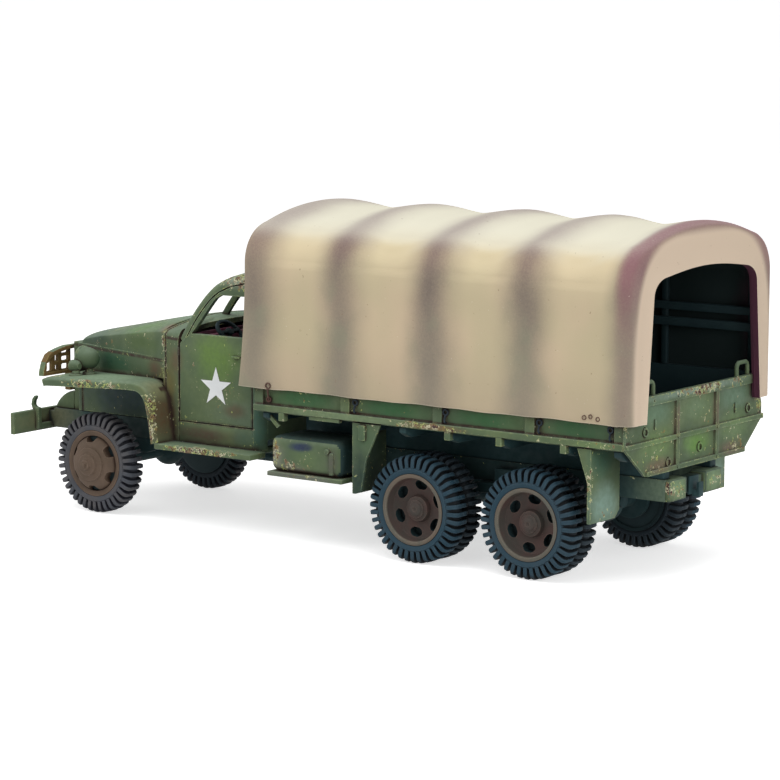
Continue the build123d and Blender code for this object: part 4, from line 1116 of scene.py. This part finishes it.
def fender(name, node, side):
    """A fender with a rolled outer edge, and the flat panel inside it that stands on the rail."""
    def place(point, j):
        x, y, z = point
        path_y = FENDER_PATH[j][0]
        # the tip is a little rounded in plan
        if path_y < -48.0 and x > 15.0:
            y += 0.03 * (x - 15.0) ** 2 * min(1, (-48.0 - path_y) / 1.5)
        return x, y, z

    top = pressed("fender_top", FENDER_PATH, FENDER_COLUMNS, place,
                  lambda x, y, z: y > -28.8 and x < 13.9, thickness=0.7, edge=0.15)
    outline = ((-51.9, 14.6), (-51.9, 19.6), (-49.9, 20.5), (-28.9, 21.3), (-28.9, 14.6))
    panel = plate("inner_panel", [(6.75, y, z) for y, z in outline], (0.75, 0, 0))
    groove = block("groove", (7.42, 7.8), (-51.15, -50.95), (14.0, 21.0))
    rounded(cut(panel, groove), 0.1)
    piece = joined(name, panel, top)
    fitted(piece if side > 0 else mirrored(piece), BODY, nodes=(node,))


COWL_ROWS = (-28.8, -28.5, -28.42, -28.3, -28.18, -28.1, -27.6, -27.0, -26.4, -25.8, -25.3, -25.05)
COWL_STEPS = 60
# steps from the crown at which the rounded edge and the upright side begin, and the edge's turn
EDGE_STEP, SIDE_STEP = 16, 22
EDGE_TURN = radians(72)
COWL_FOOT = 13.0


def cowl():
    """The cowl: its section grows from the bonnet's to the cab's, with a seam round it."""
    def place(i, j):
        y = COWL_ROWS[j]
        grow = (y - COWL_ROWS[0]) / 3.85
        grow = grow * grow * (3 - 2 * grow)
        half = 13.6 + 0.9 * grow
        corner_z = 29.0 - 0.5 * grow
        radius = 0.9 + 1.0 * grow
        crest = 31.4 - 0.5 * grow
        seam = 0.25 if abs(y + 28.3) < 0.05 else 0.0
        side = 1 if i > COWL_STEPS / 2 else -1
        k = abs(i - COWL_STEPS / 2)
        if k >= SIDE_STEP:
            up = (COWL_STEPS / 2 - k) / (COWL_STEPS / 2 - SIDE_STEP)
            return side * (half - seam), y, COWL_FOOT + (corner_z - COWL_FOOT) * up
        angle = min(1, (SIDE_STEP - k) / (SIDE_STEP - EDGE_STEP)) * EDGE_TURN
        x, z = half - radius + radius * cos(angle), corner_z + radius * sin(angle)
        if k >= EDGE_STEP:
            return side * (x - seam * cos(angle)), y, z - seam * sin(angle)
        t = k / EDGE_STEP
        return side * x * t, y, z + (crest - z) * (1 - t ** 2) - seam

    piece = sheet_grid("cowl_panel", COWL_STEPS + 1, len(COWL_ROWS), place)
    walled(piece, COWL_STEPS // 2, 0.8)
    arch = [(x, -28.6, 25.9 + 4.6 * (1 - (x / 12.8) ** 2)) for x in range(-12, 13, 2)]
    wall = plate("firewall", [(-12.4, -28.6, 14.6), *arch, (12.4, -28.6, 14.6)], (0, 0.7, 0))
    outline = ((-5.5, -27.9), (5.5, -27.9), (12.3, -24.6), (-12.3, -24.6))
    shelf = plate("scuttle", [(x, y, 29.0) for x, y in outline], (0, 0, 0.5))
    piece = smooth(joined("cowl_panel", wall, shelf, piece), 40)
    fitted(piece, BODY, nodes=("cowl",))
    two_tone(piece, MAROON, lambda x, y, z: y > -28.2 and (abs(x) < 12.5 and z < 29.9
                                                           or abs(x) < 13.2 and z < 28.5))


# side view of the cab's upper edge, from the pillar's foot to the back of the roof
CAB_PATH = eased(((-25.1, 29.2), (-24.4, 30.3), (-22.9, 32.6), (-21.3, 34.6), (-19.65, 36.35), (-17.8, 37.75),
                  (-15.05, 38.95), (-11.6, 39.7), (-8.85, 39.95)), 5)
CAB_HALF = 14.5
CAB_EDGE = 1.25
HEADER_ROW = 19
V_DEPTH = 4.2
PANE_X, PANE_Z = (0.55, 12.75), (31.15, 36.5)


def cab_columns():
    """Across the cab: the side strip, the rounded edge, the front or top face, and the same again."""
    half = [(CAB_HALF, CAB_EDGE + depth) for depth in (0.1, 0.05, 0.0)]
    half += [(CAB_HALF - CAB_EDGE + CAB_EDGE * cos(a), CAB_EDGE - CAB_EDGE * sin(a))
             for a in (pi / 12, pi / 6, pi / 4, pi / 3, 5 * pi / 12, pi / 2)]
    half += [(x, 0.0) for x in (12.75, 11.5, 10.0, 8.0, 6.0, 4.0, 2.0, 1.1, 0.55, 0.0)]
    return half + [(-x, depth) for x, depth in half[-2::-1]]


def cab_shell():
    """Roof, pillars and the post between the two halves of the windscreen, pressed as one."""
    def place(point, j):
        x, y, z = point
        inward = max(0.0, 1 - abs(x) / (CAB_HALF - CAB_EDGE))
        back = max(0.0, (j - HEADER_ROW) / (len(CAB_PATH) - 1 - HEADER_ROW))
        y -= V_DEPTH * inward * (1 - back) ** 1.4
        z += 0.75 * (1 - (x / CAB_HALF) ** 2) * min(1, back * 1.6)
        return x, y, z

    def window(x, y, z):
        return PANE_X[0] < abs(x) < PANE_X[1] and PANE_Z[0] < z < PANE_Z[1] and y < -16

    piece = pressed("cab_shell", CAB_PATH, cab_columns(), place, window, thickness=0.85, edge=0.14)
    fitted(piece, BODY, nodes=("cab_roof", "windscreen_frame"))


# outlines of the door and its window: y, z
DOOR = ((-24.8, 16.35), (-10.7, 16.35), (-10.7, 38.3), (-11.4, 38.2), (-14.54, 37.54), (-16.9, 36.55),
        (-18.55, 35.34), (-20.16, 33.62), (-21.73, 31.66), (-23.14, 29.5), (-24.0, 29.0), (-24.7, 28.2))
PANE = ((-22.4, 29.9), (-21.7, 30.7), (-18.5, 34.6), (-17.6, 35.6), (-16.6, 36.15), (-11.5, 36.2),
        (-11.4, 36.1), (-11.4, 29.9))


def door(name, node, side):
    """A door plate with its window, a handle and two hinges."""
    x = side * 13.62
    panel = plate("door_panel", [(x, y, z) for y, z in DOOR], (side * 0.86, 0, 0))
    opening = plate("pane", [(side * 13.0, y, z) for y, z in PANE], (side * 2.4, 0, 0))
    rounded(cut(panel, opening), 0.13)
    y, z = -12.9, 26.9
    backing = rounded(block("handle_plate", sorted((side * 14.4, side * 14.56)), (y - 0.35, y + 0.35),
                            (z - 0.7, z + 0.7)), 0.06)
    lever = rounded(block("handle_lever", sorted((side * 14.5, side * 14.9)), (y - 1.4, y + 0.2),
                          (z - 0.15, z + 0.2)), 0.09)
    hinges = [rod("hinge", (side * 14.45, -25.0, z - 0.6), (side * 14.45, -25.0, z + 0.6), 0.2, 10)
              for z in (19.0, 27.0)]
    piece = fitted(joined(name, backing, lever, *hinges, panel), BODY, nodes=(node,))
    two_tone(piece, MAROON, lambda x, y, z: abs(x) < 13.75)


# profiles of the two lamps: radius, y
BULLET = ((0.0, -43.95), (0.55, -44.0), (1.05, -44.25), (1.45, -44.7), (1.7, -45.3), (1.82, -46.0),
          (1.86, -46.6), (2.0, -46.65), (2.0, -46.95), (1.84, -47.05), (1.7, -46.9), (1.2, -47.07),
          (0.6, -47.17), (0.0, -47.2))
MARKER = ((0.0, -45.5), (0.5, -45.58), (0.85, -46.0), (0.95, -46.5), (0.95, -47.1), (0.88, -47.25),
          (0.5, -47.3), (0.0, -47.35))
# where the lamps stand on the fenders
LAMP_Y, MARKER_Y, LAMP_Z = -45.6, -46.4, 21.3


def headlamps():
    """A bullet headlamp and a small marker lamp on each fender."""
    for side_name, side in SIDES:
        x, z = side * 12.0, 23.95
        lamp = smooth(spun("lamp", [(x, y, z + r) for r, y in BULLET], (x, 0, z), (0, 1, 0), 32), 40)
        foot = rod("lamp_foot", (x, LAMP_Y, LAMP_Z), (x, LAMP_Y, 22.6), 0.85, 20, 0.5)
        base = rod("lamp_base", (x, LAMP_Y, LAMP_Z), (x, LAMP_Y, 21.85), 1.15, 20, 1.0)
        x, z = side * 14.2, 22.95
        marker = smooth(spun("marker", [(x, y, z + r) for r, y in MARKER], (x, 0, z), (0, 1, 0), 24), 40)
        stem = rod("marker_stem", (x, MARKER_Y, LAMP_Z), (x, MARKER_Y, 22.6), 0.7, 16, 0.55)
        collar = rod("marker_base", (x, MARKER_Y, 21.2), (x, MARKER_Y, 21.7), 1.15, 20, 1.05)
        piece = joined(f"headlamps_{side_name}", foot, base, marker, stem, collar, lamp)
        rounded(piece, 0.06, 2, 60)
        fitted(piece, BODY, nodes=("headlamps",) if side > 0 else ())


bonnet()
for side_name, side in SIDES:
    fender(f"rolled_fender_{side_name}", f"fender_{side_name}", side)
    door(f"cab_door_{side_name}", f"door_{side_name}", side)
cowl()
cab_shell()
headlamps()


# ---------------------------------------------------------------- bed and tailgate details
GATE_FACE = 58.2


def tailgate():
    """The ribbed tailgate, with bent-bar handles, rings, latches and bolts."""
    panel = copied_node("tailgate", "ribbed_tailgate")
    cut(panel, block("above", (-20, 20), (56, 60), (27.02, 31)))
    rounded(panel, 0.1)
    parts = []
    foot_to_top = ((1.55, 26.6), (1.55, 28.4), (1.35, 28.75), (1.0, 28.95))
    for x in (-13.2, 13.2):
        path = [(x - half, 57.75, z) for half, z in foot_to_top]
        path += [(x + half, 57.75, z) for half, z in foot_to_top[::-1]]
        parts.append(bent_bar("handle", path, 0.33, 3))
    for x, z in ((-14.8, 22.1), (-1.0, 18.2), (7.6, 17.1), (13.9, 22.1)):
        parts.append(ring("ring", (x, GATE_FACE - 0.17, z), (0, 1, 0.05), 0.56, 0.14))
        staple = block("staple", (x - 0.14, x + 0.14), (57.85, GATE_FACE), (z + 0.4, z + 0.75))
        parts.append(rounded(staple, 0.05))
    for x, z in ((-11.1, 22.6), (11.3, 22.9)):
        parts.append(rounded(block("latch", (x - 0.22, x + 0.22), (57.85, 58.15), (z - 0.7, z + 0.7)), 0.07))
    for x in (-5.5, 5.5):
        for z in (26.3, 20.55, 16.25):
            parts.append(rod("bolt", (x, GATE_FACE, z), (x, GATE_FACE + 0.3, z), 0.3, 10, 0.22))
    for x in (-17.6, -12.0, 0.0, 12.0, 17.6):
        parts.append(rod("bolt", (x, GATE_FACE, 26.35), (x, GATE_FACE + 0.25, 26.35), 0.22, 10, 0.16))
    piece = fitted(joined("ribbed_tailgate", *parts, panel), BODY, nodes=("tailgate",))
    # the tailgate's inner face near-black: painted shade inside the bed
    two_tone(piece, HOLD_SHADE_AND_DARK, lambda x, y, z: y < 57.55 and z < 27)


def tie_hook(name, y, side):
    """A wire eye with a hook below it, beside a bed post."""
    eye = ring("eye", (side * 18.42, y, 22.75), (1, 0, 0), 0.4, 0.15)
    path = ((18.42, 0, 22.4), (18.55, 0, 22.0), (18.8, 0.05, 21.7), (18.75, 0.1, 21.35), (18.45, 0.1, 21.25))
    hook = bent_bar("hook", [(side * x, y + back, z) for x, back, z in path], 0.15, 2)
    fitted(joined(name, hook, eye), TYRE_SHADE_AND_DARK)


def toolbox(name, side):
    """A box with rounded ends, a latch bar and a peg near its rear end."""
    box = rounded(block("box", sorted((side * 9.5, side * 18.0)), (-4.5, 8.8), (11.0, 16.4)), 1.25, 6)
    bar = rounded(block("latch_bar", sorted((side * 17.6, side * 18.35)), (6.7, 7.5), (11.4, 14.8)), 0.25, 3)
    peg = rounded(rod("peg", (side * 17.7, 6.4, 14.9), (side * 18.5, 6.4, 14.9), 0.42, 16), 0.12)
    piece = fitted(joined(name, bar, peg, box), BODY, nodes=("toolboxes",) if side > 0 else ())
    # the top and rear faces take the dark chassis paint: painted shadow under the bed
    two_tone(piece, CHASSIS_SHADE, lambda x, y, z: abs(x) < 17.7 and (y > 8.0 or z > 15.9))


def bed_fittings(side_name, side):
    """Brackets under the bed rail, the slanting brace, and the wire eyes of the cover."""
    across = sorted((side * 17.9, side * 18.95))
    brackets = [rounded(block("bracket", across, (y - 0.5, y + 0.5), (18.8, 20.1)), 0.1)
                for y in (-1.6, 28.3, 37.1, 47.8)]
    lip = rounded(block("rail_lip", sorted((side * 18.0, side * 18.8)), (3.5, 9.0), (19.45, 20.1)), 0.1)
    outline = ((-6.2, 20.3), (-5.4, 20.3), (-2.7, 17.9), (-3.2, 17.5))
    brace = rounded(plate("brace", [(side * 17.5, y, z) for y, z in outline], (side * 0.4, 0, 0)), 0.07)
    hinge = rounded(block("flap_hinge", sorted((side * 18.2, side * 19.0)), (12.6, 13.8), (17.3, 19.6)), 0.15)
    fitted(joined(f"bed_brackets_{side_name}", *brackets, lip, hinge, brace), BODY)
    for k, y in enumerate((11.7, 27.7, 43.6, 55.2)):
        tie_hook(f"tie_hook_{side_name}_{k + 1}", y, side)
    eyes = [ring("eyelet", (side * 19.63, -3.5, 24.0), (1, 0, 0), 0.42, 0.1)]
    eyes += [ring("eyelet", (side * 19.55, y, z), (1, lean, 0.1), 0.28, 0.065)
             for y, z, lean in ((51.6, 24.3, 0.25), (52.6, 24.5, -0.1), (53.8, 24.25, 0.15))]
    path = ((19.65, -3.5, 23.6), (19.4, -3.7, 23.0), (18.75, -4.1, 22.4), (18.5, -4.2, 21.7))
    cord = bent_bar("cord", [(side * x, y, z) for x, y, z in path], 0.14, 2)
    foot = ring("cord_foot", (side * 18.5, -4.2, 21.8), (1, 0, 0), 0.35, 0.15)
    fitted(joined(f"cover_eyelets_{side_name}", *eyes, foot, cord), CORD)
    across = sorted((side * 2.7, side * 7.3))
    bumper = rounded(block(f"bumper_block_{side_name}", across, (55.3, 58.2), (11.3, 14.5)), 0.5, 3)
    fitted(bumper, BODY)


tailgate()
for side_name, side in SIDES:
    bed_fittings(side_name, side)
    toolbox(f"toolbox_{side_name}", side)

# ---------------------------------------------------------------- cover
COVER_HALF = 19.6
COVER_FOOT = 23.56
COVER_SPRING = 42.0
SHOULDER_ARC = (13.52, 42.0, 6.08, radians(80.7))       # centre x and z, radius, sweep
CROWN_ARC = (3.45, 46.85, 0.3152)                       # centre z, radius, half sweep
BOWS = (-6.8, 10.0, 26.6, 42.0, 56.9)
SIDE_STEPS, CORNER_STEPS, CROWN_STEPS = 30, 18, 54
ARCH_STEPS = 2 * SIDE_STEPS + 2 * CORNER_STEPS + CROWN_STEPS


def along_arch(i):
    """Where step i of the arch lies: which stretch, how far along it, and which side."""
    side = 1 if i <= ARCH_STEPS / 2 else -1
    i = min(i, ARCH_STEPS - i)
    if i <= SIDE_STEPS:
        return "side", i / SIDE_STEPS, side
    if i <= SIDE_STEPS + CORNER_STEPS:
        return "corner", (i - SIDE_STEPS) / CORNER_STEPS, side
    return "crown", (i - SIDE_STEPS - CORNER_STEPS) / (CROWN_STEPS / 2), side


def arch_point(i):
    """Outer arch of the cover at a bow, and its outward direction: x, z, nx, nz."""
    stretch, t, side = along_arch(i)
    if stretch == "side":
        return side * COVER_HALF, COVER_FOOT + t * (COVER_SPRING - COVER_FOOT), side, 0
    if stretch == "corner":
        cx, cz, radius, sweep = SHOULDER_ARC
        angle = t * sweep
        return side * (cx + radius * cos(angle)), cz + radius * sin(angle), side * cos(angle), sin(angle)
    cz, radius, half = CROWN_ARC
    angle = half * (1 - t)
    return side * radius * sin(angle), cz + radius * cos(angle), side * sin(angle), cos(angle)


def opening_point(i):
    """Edge of the rear opening: x, z."""
    stretch, t, side = along_arch(i)
    if stretch == "side":
        return side * (15.8 - 1.5 * t), COVER_FOOT + t * 17.2
    if stretch == "corner":
        angle = t * radians(76)
        return side * (10.6 + 3.7 * cos(angle)), 40.76 + 2.6 * sin(angle)
    return side * 11.5 * (1 - t), 43.28 + 0.95 * sin(t * pi / 2)


def slack(i, y):
    """How far the cover lies inside its arch between two bows."""
    stretch, t, side = along_arch(i)
    height = {"side": t, "corner": 1 + t, "crown": 2 + t}[stretch]
    for folds_here, a, b in zip(FOLDS, BOWS, BOWS[1:]):
        if a <= y <= b:
            u = (y - a) / (b - a)
            hang = sin(pi * u) ** 1.3
            amount = 0.16 + 0.35 * min(1, height) + (0.42 if stretch != "side" else 0.1 * t)
            folds = 0.0
            # each fold leaves the front bow high on the shoulder and swings down across the panel
            for start, drop, width, depth in folds_here:
                line = start - drop * sin(pi * min(1, u * 1.05)) + 0.15 * u
                folds += depth * hang * 2.718 ** (-((height - line) / width) ** 2)
            return amount * hang + folds
    return 0.0


# folds of each panel: height on the arch (1 is where the shoulder starts, 2 where the crown does),
# how far it swings down, width, depth
FOLDS = (
    ((1.75, 0.35, 0.16, 0.10), (1.25, 0.35, 0.2, -0.12)),
    ((1.9, 0.55, 0.13, 0.24), (1.62, 0.62, 0.12, -0.14), (1.3, 0.5, 0.18, 0.12), (2.25, 0.2, 0.16, 0.10)),
    ((1.95, 0.62, 0.13, 0.26), (1.66, 0.66, 0.12, -0.16), (1.28, 0.55, 0.17, 0.14), (2.3, 0.25, 0.15, 0.12)),
    ((2.0, 0.6, 0.14, 0.26), (1.7, 0.66, 0.13, -0.16), (1.2, 0.45, 0.2, 0.12), (2.35, 0.25, 0.15, 0.12)),
)

# rows of the cover from front to rear: y, how far inside the arch, share of the way to the opening
FRONT_ROWS = ((-8.4, 1.15, 0), (-8.33, 0.75, 0), (-8.1, 0.38, 0), (-7.7, 0.14, 0), (-7.2, 0.03, 0))
REAR_ROWS = ((57.3, 0.0, 0), (57.9, 0.05, 0), (58.4, 0.2, 0), (58.8, 0.5, 0), (59.03, 0.9, 0),
             (59.12, 1.3, 0), (59.12, 1.3, 0.25), (59.12, 1.3, 0.5), (59.2, 1.3, 0.75), (59.36, 1.3, 0.93),
             (59.42, 1.3, 0.97), (59.38, 1.3, 1.0), (59.1, 1.3, 1.0), (58.6, 1.3, 1.0), (58.1, 1.3, 1.0))
PANEL_ROWS = 76


def cover():
    """The moulded cover: one skin from the front wall over the bows to the lip of the rear opening."""
    first, last = BOWS[0], BOWS[-1]
    rows = [(first + (last - first) * k / PANEL_ROWS, 0, 0) for k in range(PANEL_ROWS + 1)]
    rows = [*FRONT_ROWS, *rows, *REAR_ROWS]
    shares = []

    def place(i, row):
        y, inset, share = rows[row]
        shares.append(share)
        x, z, nx, nz = arch_point(i)
        inset += slack(i, y)
        stretch, t, _ = along_arch(i)
        flare = 1.3 * (1 - t) ** 2 * min(1, max(0, (-3.0 - y) / 4)) if stretch == "side" and row else 0.0
        foot = 0.06 * sin(y * 0.31) + 0.04 * sin(y * 0.83 + 1)
        lift = max(0.0, 1 - (z - COVER_FOOT) / 3) * foot * (1 if y < 57 else 0)
        x, z = x - inset * nx, z - inset * nz + lift
        ox, oz = opening_point(i)
        return x + share * (ox - x), y - flare, z + share * (oz - z)

    piece = sheet_grid("moulded_cover", ARCH_STEPS + 1, len(rows), place)
    lip = {k for k, share in enumerate(shares) if share == 1}
    edited(piece, bpy.ops.mesh.select_all, action="DESELECT")
    for vertex in piece.data.vertices:
        vertex.select = abs(vertex.co.y - FRONT_ROWS[0][0] * MM) < 1e-6
    bpy.context.tool_settings.mesh_select_mode = (True, False, False)
    bpy.ops.object.mode_set(mode="EDIT")
    bpy.ops.mesh.edge_face_add()
    bpy.ops.mesh.select_all(action="SELECT")
    bpy.ops.mesh.normals_make_consistent(inside=False)
    close_up()
    piece.data.materials.append(COVER)
    piece.data.materials.append(COVER_INSIDE)
    for face in piece.data.polygons:
        if lip.issuperset(face.vertices):
            face.material_index = 1
    applied(piece, "SOLIDIFY", thickness=0.85 * MM, offset=-1, use_even_offset=False, material_offset=1)
    applied(piece, "BEVEL", width=0.12 * MM, segments=2, limit_method="ANGLE", angle_limit=radians(55))
    smooth(piece, 50)
    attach(piece, "truck")
    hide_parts("canopy")


cover()

# ---------------------------------------------------------------- markings
STAR_CENTRE = (-17.6, 22.0)
STAR_RADII = (3.1, 1.2)


def star(name, side):
    """A plain five-point star lying on the door, as thick as its paint."""
    y, z = STAR_CENTRE
    points = []
    for i in range(10):
        radius, angle = STAR_RADII[i % 2], pi / 2 + i * pi / 5
        points.append((side * 14.48, y + radius * cos(angle), z + radius * sin(angle)))
    return plate(name, points, (side * 0.06, 0, 0))


for side_name, side in SIDES:
    fitted(star(f"door_star_{side_name}", side), STAR_WHITE)
